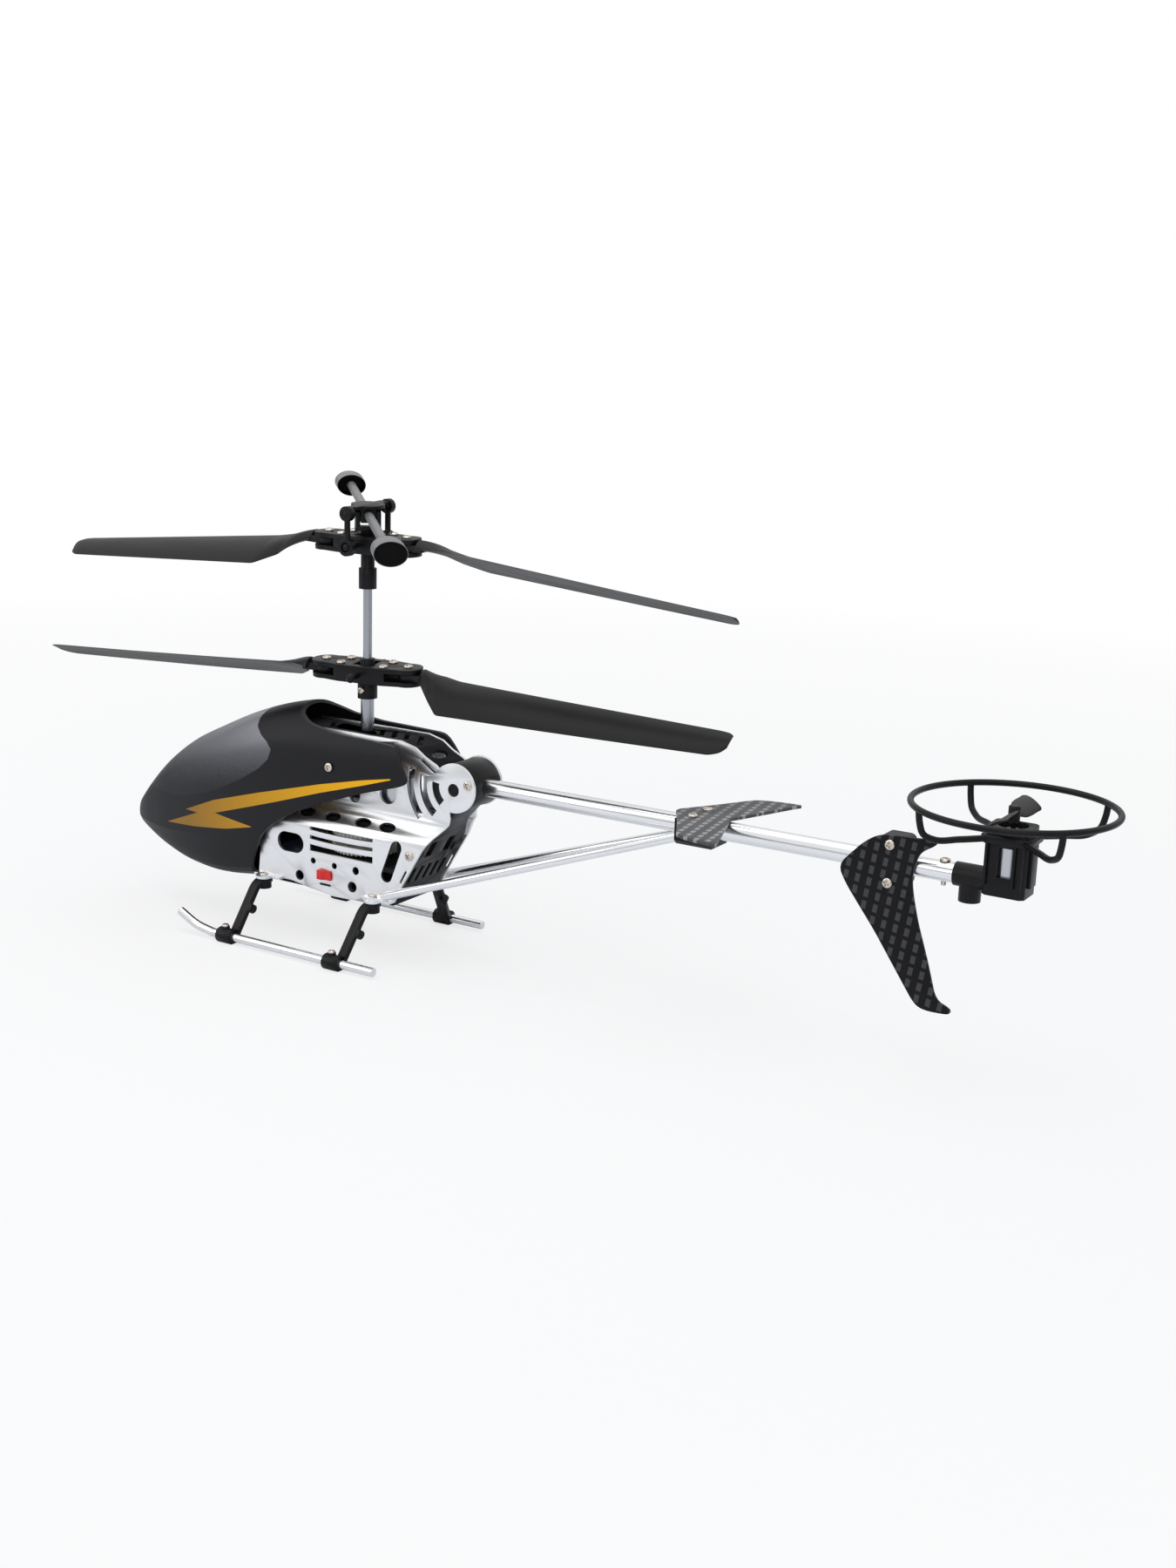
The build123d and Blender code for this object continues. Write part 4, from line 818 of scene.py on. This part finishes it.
# %% [markdown]
# ## Canopy paint
# The shell is a blue-black satin. The windscreen is a metallic grey panel whose edge sweeps back over the
# cockpit and returns to the roof, and a gold flash zigzags along the flank. Both are masks laid out in the
# side view: each edge is a graph of height over length, held in a colour ramp, and a point is inside when
# it lies between its edges.

# %% Canopy paint
X_START, X_SPAN, Z_SPAN = -40.0, 160.0, 100.0
EDGE_BLUR = 0.16


def edge_height(finish, x, points):
    """Height of an edge at x, from points along it."""
    stops = [((px - X_START) / X_SPAN, pz / Z_SPAN) for px, pz in sorted(points)]
    ramp = finish.node("ShaderNodeValToRGB", {"ease": "LINEAR", "stops": stops}, (x - X_START) / X_SPAN)
    return ramp * Z_SPAN


def between(finish, x, z, upper, lower, start, end):
    """Mask of the band between two edges, from one length to another."""
    below_top = (edge_height(finish, x, upper) - z).above(0, EDGE_BLUR)
    band = below_top * (z - edge_height(finish, x, lower)).above(0, EDGE_BLUR)
    return band * x.above(start, EDGE_BLUR) * (1 - x.above(end, EDGE_BLUR))


paint = Finish("canopy_paint")
spot, px, _, pz = places(paint)
flash_upper = between(
    paint, px, pz, [(-22.8, 64.5), (-11.3, 62.4), (6.5, 58.4), (34.3, 51.1), (56.1, 44.8), (71.6, 38.6)],
    [(-22.8, 64.1), (-11.4, 60.6), (6.6, 55.4), (27.3, 48.8), (56.2, 40.0), (65.2, 38.4), (71.6, 38.5)],
    -22.8, 71.6)
flash_lower = between(
    paint, px, pz, [(38.1, 38.2), (56.2, 40.1), (65.2, 38.5), (82.9, 31.7)],
    [(38.1, 38.0), (50.5, 35.2), (67.6, 32.9), (82.9, 31.5)], 38.1, 82.9)
flash = flash_upper.most(flash_lower)
glass_low = edge_height(paint, px, [
    (30.1, 63.5), (34.3, 59.6), (42.3, 54.8), (53.3, 49.4), (60.0, 46.8), (66.7, 45.0), (73.0, 43.4),
    (79.7, 42.5), (86.0, 42.3), (92.0, 42.7), (98, 42.7)])
glass_back = paint.node("ShaderNodeValToRGB", {"ease": "LINEAR", "stops": [
    (0.0, 0.30), (0.635, 0.301), (0.670, 0.290), (0.694, 0.314), (0.711, 0.349), (0.734, 0.384),
    (0.755, 0.394), (0.78, 0.398), (1.0, 0.40)]}, pz / Z_SPAN) * Z_SPAN
glass = (pz - glass_low).above(0, 0.3) * (px - glass_back).above(0, 0.3)
print("canopy masks drawn")

# %% [markdown]
# The windscreen's paint holds metal flakes: a very fine noise, thresholded, is painted as bright glints
# against the grey. The grey itself is painted near black low down and pale towards the roof, a painted
# reflection, and the glints grow with it. The rest of the shell has the faint orange peel of a sprayed coat.

# %% Canopy paint, closing
flake = grain(paint, spot, 5.5, 2)
peel = grain(paint, spot, 0.9, 2)
shade_drift = grain(paint, spot, 0.03, 1)
body_colour = blend_colour(paint, (0.007, 0.007, 0.009), (0.011, 0.011, 0.014), shade_drift)
# painted reflection: the windscreen grey runs from near black low down to pale grey towards the roof, by
# height and a little by length
painted_reflection_fade = ((pz - 46 + (px - 60) * 0.12) / 32).most(0).least(1)
glass_tone = blend_colour(paint, (0.012, 0.012, 0.015), (0.42, 0.43, 0.46), painted_reflection_fade * painted_reflection_fade)
# painted glints: flakes lightened in the colour, more strongly where the painted reflection is pale
painted_flake_glint = flake.above(0.60, 0.14) * (0.04 + painted_reflection_fade * 0.22)
glass_colour = blend_colour(paint, glass_tone, (0.55, 0.56, 0.60), painted_flake_glint)
# painted light and shade: the gold flash is the same gold bright towards the rear and dark towards the nose
gold_with_painted_shade = blend_colour(paint, (0.30, 0.15, 0.018), (1.0, 0.50, 0.004), (1 - (px + 25) / 95).most(0).least(1))
coloured = blend_colour(paint, blend_colour(paint, body_colour, glass_colour, glass), gold_with_painted_shade, flash)
paint_gloss = 0.40 - glass * 0.04 - flash * 0.06 + (peel - 0.5) * 0.06
canopy_paint = surface(paint, Base_Color=coloured, Metallic=glass * painted_reflection_fade * 0.5 + flash * 0.1,
                       Roughness=paint_gloss, Normal=relief(paint, peel + flake * 0.3, 0.012, 0.35),
                       Specular_IOR_Level=0.2)
canopy = add_piece("canopy_shell", trimmed, canopy_paint, "canopy", 13)
print(canopy.name, "box", [round(v, 4) for v in canopy.dimensions])

# %% [markdown]
# ## Swept rods, lathe work and plates
# Guard ring, arms and skids are round stock bent along a path. Carrying a circle along the path, turned
# only as much as the path turns, keeps the rod from twisting, and works for an open rod or a closed ring.
# Lathe work and flat plates get a helper each: a profile round an axis, and an outline carried up.

# %% Swept rods, lathe work and plates


def sweep_rod(points, radius, sides=20, closed=False):
    """Points and faces of a round rod along a path; the cut ends of an open rod have a small rounding."""
    path = [Vector(p) for p in points]
    count = len(path)
    if closed:
        ways = [(path[(i + 1) % count] - path[i - 1]).normalized() for i in range(count)]
        sizes = [radius] * count
    else:
        soft = radius * 0.15
        first, last = (path[1] - path[0]).normalized(), (path[-1] - path[-2]).normalized()
        path = [path[0], path[0] + first * soft] + path[1:-1] + [path[-1] - last * soft, path[-1]]
        ways = [first, first] + [(b - a).normalized() for a, b in zip(path[1:], path[3:])] + [last]
        sizes = [radius * 0.84] + [radius] * (len(path) - 2) + [radius * 0.84]
    side = Vector((0, 0, 1)) if closed else ways[0].orthogonal()
    rings = []
    for spot, way, size in zip(path, ways, sizes):
        side = (side - way * side.dot(way)).normalized()
        other = way.cross(side)
        rings.append([spot + (side * c + other * s) * size for c, s in circle(sides)])
    if not closed:
        return skinned(rings)
    points = [point for ring in rings for point in ring]
    return points, [tuple(i % len(points) for i in face) for face in stitched(rings + rings[:1])]


def turned(profile, start, way, sides=48):
    """Points and faces of a profile of (distance along, radius), turned round an axis."""
    way = Vector(way).normalized()
    side = way.orthogonal().normalized()
    other = way.cross(side)
    return skinned([[Vector(start) + way * (along * MM) + (side * c + other * s) * (radius * MM)
                     for c, s in circle(sides)] for along, radius in profile])


def column(outline, low, high):
    """Points and faces of an outline seen from above, carried from one height to another."""
    return skinned([[at(x, y, z) for x, y in outline] for z in (low, high)])


print("rod and turning helpers ready")

# %% [markdown]
# ## Switch knob
# The power switch has a red slide knob. One end stands proud for the thumb and steps down to a thinner
# tail, so its outline is drawn as seen from above, carried up to the knob's height and given rounded edges.

# %% Switch knob
knob_low, knob_high = (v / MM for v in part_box("switch_knob"))
knob_x = (knob_low.x + knob_high.x) / 2
CAP_DEEP, STEM_INSET = 1.3, 0.6
face, root = knob_high.y - CAP_DEEP, knob_low.y
cap_plan = [(-2.8, 0), (2.8, 0), (2.8, 1.15), (2.4, 1.3), (0.9, 1.3), (0.3, 1.05), (-0.3, 0.45), (-2.8, 0.45)]
stem_plan = [(-1.2, root - face), (1.2, root - face), (1.2, 0.1), (-1.2, 0.1)]
knob_shapes = []
for plan, inset in ((cap_plan, 0), (stem_plan, STEM_INSET)):
    levels = (knob_low.z + inset, knob_high.z - inset)
    knob_shapes.append(skinned([[Vector((knob_x + x, face + y, z)) * MM for x, y in plan] for z in levels]))
knob_mesh = applied("switch_knob", as_mesh("switch_knob", *joined(knob_shapes)), [bevel(0.22)])
made = add_piece("switch_knob_stepped", knob_mesh, signal_red, "switch_knob")
print(made.name, "from", round(knob_low.x, 1), "to", round(knob_high.x, 1))

# %% [markdown]
# ## Skids
# The skids are bright aluminium rod, bent up at the front so that the craft slides over a carpet's edge
# when it lands with some way on. The bend is an easy curve, as a former leaves it.

# %% Skids
SKID_Y, SKID_Z, SKID_R = 31.3, 2.4, 1.5
skid_bend = smooth_path([(43.0, SKID_Z), (50.5, SKID_Z + 1.4), (58.4, SKID_Z + 5.0)], 14)
for node, side in (("skid_left", 1), ("skid_right", -1)):
    run = [(-27.6, SKID_Z), (8.0, SKID_Z), (30.0, SKID_Z)] + [tuple(p) for p in skid_bend]
    rod = sweep_rod([at(x, side * SKID_Y, z) for x, z in run], SKID_R * MM, 28)
    made = add_piece(node + "_rod", as_mesh(node, *rod), tube_bright, node)
    print(made.name, [round(v / MM, 1) for v in made.dimensions])

# %% [markdown]
# ## Rotor blades
# Each blade is a thin cambered plate with a rounded leading edge, widest at a knee near the hub and
# tapering to a clipped tip. It leaves the hub flat, has its full pitch a little over half way to the knee
# and droops under its own weight. Sections along the span are skinned; averaging the plan over a short
# reach rounds its corners.

# %% Rotor blades
ROTOR_R, PIVOT_R, ROOT_R, TIP_R = 137.8, 16.0, 22.2, 133.2
NECK_R, TAPER_R = 28.0, 103.0
ROOT_TRAIL, KNEE_TRAIL, TIP_TRAIL, LEAD = 3.4, 15.2, 8.7, 1.8
CORNER, PITCH_GAIN, TWIST_FROM = 0.9, 1.8, 0.17
ARCH, HOLLOW, NOSE_ROUND, NOSE_UNDER, UNDER_BOW = 0.86, 0.22, 0.35, 0.35, 0.1
BELLY, BELLY_END, BELLY_FADE = 0.4, 42, 14
SECTION_STEPS = 16


def blade_plan(radius, knee):
    """Leading offset, trailing offset and thickness at a radius, with softened corners."""
    stations = [ROOT_R, NECK_R, knee, TAPER_R, TIP_R, ROTOR_R - 1.3, ROTOR_R]
    neck, taper = np.interp([NECK_R, TAPER_R], [ROOT_R, knee, TIP_R], [ROOT_TRAIL, KNEE_TRAIL, TIP_TRAIL])
    columns = ([4.2, 3.0, LEAD, LEAD, LEAD, 1.5, 0.5],
               [ROOT_TRAIL, neck, KNEE_TRAIL, taper, TIP_TRAIL, 7.1, 4.7],
               [3.0, 2.6, 1.7, 1.1, 1.0, 0.9, 0.8])
    reach = min(CORNER, (ROTOR_R - radius) * 0.7, (radius - ROOT_R) * 0.7)
    near = np.linspace(radius - reach, radius + reach, 9)
    return [float(np.interp(near, stations, column).mean()) for column in columns]


def blade_section(radius, turn, knee, droop, bend, pitch):
    """Ring of points round the blade at a radius, leading edge first."""
    lead, trail, thick = blade_plan(radius, knee)
    out = (radius - ROOT_R) / (ROTOR_R - ROOT_R)
    inner = min((radius - ROOT_R) / (knee - ROOT_R) * PITCH_GAIN, 1)
    outer = max(out - TWIST_FROM, 0) / (1 - TWIST_FROM)
    angle = radians(turn * (pitch[0] * inner + (pitch[1] - pitch[0]) * outer))
    sag = -droop * out ** bend
    bow = UNDER_BOW + thick * BELLY * min(max((BELLY_END - radius) / BELLY_FADE, 0), 1)
    ring = []
    for i in range(2 * SECTION_STEPS):
        t = i / SECTION_STEPS if i <= SECTION_STEPS else 2 - i / SECTION_STEPS
        s = (1 - cos(pi * t)) / 2
        crown = 4 * s * (1 - s)
        nose_round = NOSE_ROUND * thick * sqrt(max(s * (1 - s), 0)) * (1 - s)
        upper = thick * crown * ARCH + nose_round
        under = -bow * crown - nose_round * NOSE_UNDER + crown * thick * HOLLOW
        u = turn * (lead - (lead + trail) * s)
        v = upper if i <= SECTION_STEPS else under
        ring.append((radius, u * cos(angle) - v * sin(angle), sag + u * sin(angle) + v * cos(angle)))
    return ring


for place in (36.0, 130.0):
    print("blade chord at", place, "mm is", round(sum(blade_plan(place, 36.0)[:2]), 1), "mm")

# %% [markdown]
# The blade ends in a flat eye that pivots on a screw between the two plates of its hub, so the blade can
# lag and fold back when it strikes something. The wing, the eye and its neck are skinned in the hub's own
# axes and then seated at the mast with the same turns as the frame.

# %% Blades on their hubs


def seat(roll, azimuth, height, half_turn=0, lag=0):
    """Turn from a hub's own axes to the mast; lag swings a blade about its own pivot."""
    place = Matrix.Translation(at(0, 0, height)) @ Matrix.Rotation(radians(azimuth), 4, "Z")
    pivot = Matrix.Translation((PIVOT_R * MM, 0, 0))
    swing = pivot @ Matrix.Rotation(radians(lag), 4, "Z") @ pivot.inverted()
    rolled = Matrix.Rotation(radians(roll), 4, "X")
    return place @ rolled @ Matrix.Rotation(radians(half_turn), 4, "Z") @ swing


def blade_shapes(turn, knee, droop, bend, pitch):
    """Wing, eye and neck of one blade along +X."""
    near = np.linspace(ROOT_R, knee + 4, 26)
    far = np.linspace(knee + 7, ROTOR_R - 9, 22)
    tip = ROTOR_R - 7.6 + 7.6 * np.sin(np.linspace(0, pi / 2, 12))
    rings = [blade_section(r, turn, knee, droop, bend, pitch) for r in [*near, *far, *tip]]
    wing = skinned([[Vector(p) * MM for p in ring] for ring in rings])
    eye = turned([(-1.3, 0.85), (-1.3, 3.3), (-1.0, 3.6), (1.0, 3.6), (1.3, 3.3), (1.3, 0.85)],
                 (PIVOT_R * MM, 0, 0), (0, 0, 1))
    corners = [(-2.6, -1.3), (2.6, -1.3), (2.9, 0), (2.6, 1.3), (-2.6, 1.3), (-2.9, 0)]
    ends = [(PIVOT_R + 0.9, 1, 1), (ROOT_R + 2.0, 1.06, 0.75)]
    neck = skinned([[Vector((x, y * wide, z * tall)) * MM for y, z in corners] for x, wide, tall in ends])
    return joined([wing, eye, neck])


rotors = [
    ("blade_lower_", (-5.0, 7.2, 95.6), (1, 36.0), (0.82, (27.9, 31.1)), (-1.6, 5.3), (-6.7, 3.2)),
    ("blade_upper_", (-3.21, 0.9, 138.9), (-1, 39.5), (1.0, (26.7, 27.4)), (-2.1, 11.1), (-1.6, 10.8)),
]
for prefix, hub_seat, (turn, knee), (bend, pitch), front, rear in rotors:
    for end, half_turn, (lag, droop) in (("front", 0, front), ("rear", 180, rear)):
        node = prefix + end
        mesh = as_mesh(node, *blade_shapes(turn, knee, droop, bend, pitch))
        mesh.transform(seat(*hub_seat, half_turn, lag))
        made = add_piece(node + "_wing", mesh, blade_nylon, node, 50)
        low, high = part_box(node)
        over = [round((max(v.co[i] for v in mesh.vertices) - high[i]) / MM, 2) for i in range(3)]
        print(made.name, "over the frame part by", over)

# %% [markdown]
# ## Flybar
# The flybar crosses above the upper rotor: a steel rod with a weight at each end. Its inertia steadies the
# craft. The rod is turned, so a profile revolved round its axis gives it exactly. A weight is an oval
# sleeve, wider than it is high, round a black core that is sunk below both rims, so ovals skinned along the
# rod suit it better.

# %% Flybar
FLY_HALF, FLY_ROD_R = 69.0, 1.5
fly_place = (Matrix.Translation(at(0, 0, 148.5)) @ Matrix.Rotation(radians(134), 4, "Z")
             @ Matrix.Rotation(radians(4.4), 4, "Y"))
rod_end = FLY_HALF - 2.0
rod_profile = [(-rod_end, 1.3), (-rod_end + 0.2, FLY_ROD_R), (rod_end - 0.2, FLY_ROD_R), (rod_end, 1.3)]
rod_mesh = as_mesh("flybar_rod", *turned(rod_profile, (0, 0, 0), (1, 0, 0), 32))
rod_mesh.transform(fly_place)
add_piece("flybar_rod_turned", rod_mesh, flybar_grey, "flybar_rod")

WEIGHT_OVAL, WEIGHT_LEN = 0.74, 10.0


def oval_rings(profile, way, sides=64):
    """Points and faces of a profile of (distance out, half width), skinned as ovals round the rod."""
    return skinned([[Vector((way * out, half * c, half * WEIGHT_OVAL * s)) * MM for c, s in circle(sides)]
                    for out, half in profile])


back, mouth = FLY_HALF - WEIGHT_LEN, FLY_HALF
sleeve_profile = [
    (back + 3.4, 4.9), (back + 0.38, 4.96), (back + 0.4, 5.12), (back + 1.2, 5.2), (mouth - 0.5, 5.3),
    (mouth - 0.2, 5.26), (mouth - 0.14, 5.1), (mouth - 0.6, 4.9)]
core_profile = [
    (back + 3.0, 4.95), (back + 0.42, 5.0), (back + 0.16, 5.12), (back, 4.9), (back + 0.06, 4.6),
    (back + 0.5, 4.4), (back + 2.5, 4.2), (back + 2.5, 2.4), (back + 0.7, 2.3), (back + 0.6, 2.1)]
plug_profile = [
    (mouth - 0.8, 4.85), (mouth - 0.1, 5.02), (mouth, 4.85), (mouth - 0.12, 4.5), (mouth - 0.5, 4.1),
    (mouth - 0.5, 3.2), (mouth - 0.35, 1.8), (mouth - 0.32, 0.4)]
sleeves = [oval_rings(sleeve_profile, way) for way in (1, -1)]
cores = [oval_rings(rows, way) for way in (1, -1) for rows in (core_profile, plug_profile)]
for name, shapes, finish in (("sleeves", sleeves, flybar_grey), ("cores", cores, core_black)):
    mesh = as_mesh("flybar_weight_" + name, *joined(shapes))
    mesh.transform(fly_place)
    made = add_piece("flybar_weight_" + name, mesh, finish, "flybar_weights", 30)
    print(made.name, len(made.data.polygons), "faces")

# %% [markdown]
# ## Tail ring
# A ring guards the tail rotor. It is moulded in one piece with four arms that drop from the ring, turn
# inwards in an easy bend and meet a square collar on the motor housing. The ring and arms are swept rods;
# the collar is a square frame with rounded edges.

# %% Tail ring
TAIL_X, RING_R, RING_Z, RING_TUBE = -227.8, 28.7, 84.6, 0.95
ring_path = [at(TAIL_X + RING_R * c, RING_R * s, RING_Z) for c, s in circle(96)]
guard_shapes = [sweep_rod(ring_path, RING_TUBE * MM, 18, closed=True)]
arm_line = [(RING_R, RING_Z), (RING_R - 0.5, 81.0), (RING_R - 1.8, 77.6), (RING_R - 5.2, 75.9), (16.0, 75.7),
            (7.6, 75.8)]
for azimuth in (45, 135, 225, 315):
    c, s = cos(radians(azimuth)), sin(radians(azimuth))
    arm = [at(TAIL_X + r * c, r * s, z) for r, z in smooth_path(arm_line, 26)]
    guard_shapes.append(sweep_rod(arm, RING_TUBE * MM, 18))
COLLAR_CUT = 1.2
COLLAR = [(6.2, 5.2, 74.6), (7.1, 6.1, 74.6), (7.3, 6.3, 74.9), (7.3, 6.3, 76.7), (7.1, 6.1, 77.0),
          (6.2, 5.2, 77.0)]
collar_rings = []
for half_x, half_y, z in COLLAR:
    near_x, near_y = half_x - COLLAR_CUT, half_y - COLLAR_CUT
    side = [(near_x, -half_y), (half_x, -near_y), (half_x, near_y), (near_x, half_y)]
    collar_rings.append([at(TAIL_X + way * x, way * y, z) for way in (1, -1) for x, y in side])
collar_faces = [tuple(i % 48 for i in face) for face in stitched(collar_rings + collar_rings[:1])]
collar = ([p for ring in collar_rings for p in ring], collar_faces)
guard_shapes.append(collar)
made = add_piece("tail_ring", as_mesh("tail_ring", *joined(guard_shapes)), black_satin, "tail_guard")
print(made.name, len(made.data.polygons), "faces")

# %% [markdown]
# ## Stabilizer plate
# The stabilizer is one flat plate, swept back like a swallow's tail. Half of its outline is known, the
# other half mirrors it, and the closed outline carried up by the plate's thickness gives a solid whose
# edges are then eased.

# %% Stabilizer plate
WING_UNDER, WING_TOP = 65.8, 66.8
wing = [(-121.6, 1.2), (-128.0, 12.0), (-134.3, 24.0), (-135.4, 25.6), (-137.4, 26.8), (-140.8, 28.0),
        (-145.8, 28.8), (-149.6, 29.1), (-150.2, 28.7), (-150.0, 28.0), (-148.8, 25.2), (-141.6, 4.4),
        (-140.2, 1.0)]
wing_plan = wing + [(x, -y) for x, y in reversed(wing)]
wing_mesh = as_mesh("stabilizer_plate", *column(wing_plan, WING_UNDER, WING_TOP))
wing_mesh = applied("stabilizer_plate", wing_mesh, [bevel(0.15)])
made = add_piece("stabilizer_plate", wing_mesh, stabilizer_weave, "stabilizer")
print(made.name, len(made.data.polygons), "faces")

# %% [markdown]
# ## Ribs on the tail housing
# The motor housing is stiffened by upright ribs on its long faces and a broad one at the back. They run
# from a step above its foot up into the ring's collar, so their upper ends need no finish of their own.
# Each is a short column drawn as an outline at two heights, with its edges rounded.

# %% Ribs on the tail housing
RIB_FOOT, RIB_HEAD = 62.4, 75.2
rib_bases = [(x, way * 5.5, 0.45, 0.55) for way in (1, -1) for x in (5.2, -2.9, -5.0)] + [(-6.5, 0, 0.6, 2.4)]
rib_shapes = []
for x, y, half_x, half_y in rib_bases:
    outline = [(TAIL_X + x + dx * half_x, y + dy * half_y) for dx, dy in ((-1, -1), (1, -1), (1, 1), (-1, 1))]
    rib_shapes.append(column(outline, RIB_FOOT, RIB_HEAD))
rib_mesh = applied("tail_housing_ribs", as_mesh("tail_housing_ribs", *joined(rib_shapes)), [bevel(0.18)])
made = add_piece("tail_housing_ribs", rib_mesh, black_satin, "tail_housing")
print(made.name, len(rib_bases), "ribs")

# %% [markdown]
# ## Tail rotor
# The tail rotor is a small two-bladed propeller that tips the craft forwards or back. Its blades are thin,
# broad and twisted, with a slanted tip, on a plain round boss.

# %% Tail rotor
PROP_Z, BOSS_Z, AXLE_Z = 82.9, 80.2, 72.6
PROP_ROWS = [(1.0, 3.4, -38), (4.0, 5.8, -36.5), (7.0, 6.5, -35), (12.0, 6.6, -32), (15.9, 6.4, -30.2),
             (16.5, 5.9, -30)]


def prop_ring(radius):
    """Ring of points round the tail blade at a radius, before it is carried to its place."""
    chord, pitch = smooth_rows(PROP_ROWS, radius)
    ring = []
    for i in range(24):
        t = 2 * pi * i / 24
        u = chord / 2 * cos(t)
        v = 0.36 * sin(t) * (1 - 0.4 * cos(t)) + 0.3 * (1 - cos(t) ** 2) - 0.15
        ring.append((u * cos(radians(pitch)) - v * sin(radians(pitch)),
                     radius, u * sin(radians(pitch)) + v * cos(radians(pitch))))
    return ring


prop_rings = [prop_ring(r) for r in [*np.linspace(1.0, 14.6, 18), 15.4, 16.0, 16.35, 16.5]]
prop_shapes = []
for way in (1, -1):
    blade = [[at(TAIL_X + way * x, way * y, PROP_Z + z) for x, y, z in ring] for ring in prop_rings]
    prop_shapes.append(skinned(blade))
boss_profile = [(0, 1.5), (0.2, 1.7), (4.4, 1.7), (4.7, 1.5), (4.8, 1.2), (4.8, 0.5)]
prop_shapes.append(turned(boss_profile, at(TAIL_X, 0, BOSS_Z), (0, 0, 1), 32))
prop_shapes.append(turned([(0, 0.75), (7.7, 0.75)], at(TAIL_X, 0, AXLE_Z), (0, 0, 1), 24))
made = add_piece("tail_prop_moulded", as_mesh("tail_prop", *joined(prop_shapes)), black_satin, "tail_rotor")
print(made.name, len(made.data.polygons), "faces")

# %% [markdown]
# ## Screws
# Small pan head screws with a cross recess hold everything. One head is modelled well: a low dome with a
# rounded rim and a cross cut into it. A screw is round, so two of its three spreads are alike and the odd
# one is its axis; the wide end is the head. That finds every screw in the frame, whichever way it points.

# %% One screw head
DOME = [(0, 0.96), (0.25, 1), (0.5, 0.97), (0.78, 0.84), (0.94, 0.62), (1, 0.3)]


def screw_head(radius, height):
    """Domed head standing on its base plane along +Z, with a cross recess."""
    profile = [(height * up, radius * out) for up, out in DOME]
    dome = as_mesh("screw_dome", *turned(profile, (0, 0, 0), (0, 0, 1), 40))
    arm, slim, deep = radius * 0.62 * MM, radius * 0.16 * MM, height * 0.62 * MM
    notch = [(arm, -slim), (arm, slim), (slim, slim)]
    plan = notch + [(-y, x) for x, y in notch] + [(-x, -y) for x, y in notch] + [(y, -x) for x, y in notch]
    levels = ((0.7, height * MM - deep), (1.06, 1.3 * height * MM))
    cutter = skinned([[(x * k, y * k, z) for x, y in plan] for k, z in levels])
    cross = bpy.data.objects.new("screw_cross", as_mesh("screw_cross", *cutter))
    bpy.context.scene.collection.objects.link(cross)
    cut = {"operation": "DIFFERENCE", "solver": "EXACT", "object": cross}
    head = applied("screw_head", dome, [("BOOLEAN", cut)])
    bpy.data.objects.remove(cross)
    return head


print("screw head:", len(screw_head(1.6, 0.9).polygons), "faces")

# %% [markdown]
# ## Every screw in its place
# The frame's screws come as groups of separate solids. Each solid is found by walking its connected edges,
# and gets a detailed head and a plain shank on the same axis.

# %% Every screw in its place


def islands(node):
    """Point sets of the separate solids of a frame part."""
    work = bmesh.new()
    work.from_mesh(frame["nodes"][node].data)
    bmesh.ops.remove_doubles(work, verts=work.verts, dist=2e-6)
    left, sets = set(work.verts), []
    for seed in work.verts:
        if seed not in left:
            continue
        left.discard(seed)
        grow, found = [seed], []
        while grow:
            vert = grow.pop()
            found.append(np.array(vert.co))
            for edge in vert.link_edges:
                other = edge.other_vert(vert)
                if other in left:
                    left.discard(other)
                    grow.append(other)
        sets.append(np.array(found))
    work.free()
    return sets


def screw_axis(cloud):
    """Base of the head, direction out of it, head radius, head height and total length of one screw."""
    spreads, ways = np.linalg.eigh(np.cov((cloud - cloud.mean(0)).T))
    odd = 0 if spreads[1] - spreads[0] > spreads[2] - spreads[1] else 2
    way = ways[:, odd]
    along = (cloud - cloud.mean(0)) @ way
    off = np.linalg.norm(cloud - cloud.mean(0) - np.outer(along, way), axis=1)
    wide = off > 0.8 * off.max()
    if along[wide].mean() < (along.max() + along.min()) / 2:
        way, along = -way, -along
    under = along[wide].min()
    base, top = Vector(cloud.mean(0) + way * under), along.max()
    return base, Vector(way), off.max(), top - under, top - along.min()


SCREW_GROUPS = ("body_screws", "leg_screws", "tail_screws", "collar_screw", "lower_hub_screws",
                "upper_hub_screws")
screw_total = 0
for node in SCREW_GROUPS:
    shapes = []
    for cloud in islands(node):
        base, way, wide, tall, long = screw_axis(cloud)
        head = screw_head(wide / MM, tall / MM)
        turn = Vector((0, 0, 1)).rotation_difference(way).to_matrix().to_4x4()
        spin = Matrix.Rotation(radians(37 * screw_total % 90), 4, "Z")
        head.transform(Matrix.Translation(base) @ turn @ spin)
        shapes.append(([v.co.copy() for v in head.vertices], [tuple(p.vertices) for p in head.polygons]))
        shank = (long - tall) / MM
        shapes.append(turned([(-shank, 0.6), (-shank + 0.2, 0.75), (0.05, 0.75)], base, way, 24))
        screw_total += 1
    add_piece(node + "_cross", as_mesh(node, *joined(shapes)), nickel, node, 32)
print(screw_total, "screws")

# %% [markdown]
# ## Last update
# The view layer is brought up to date once more.

# %% Last update
bpy.context.view_layer.update()
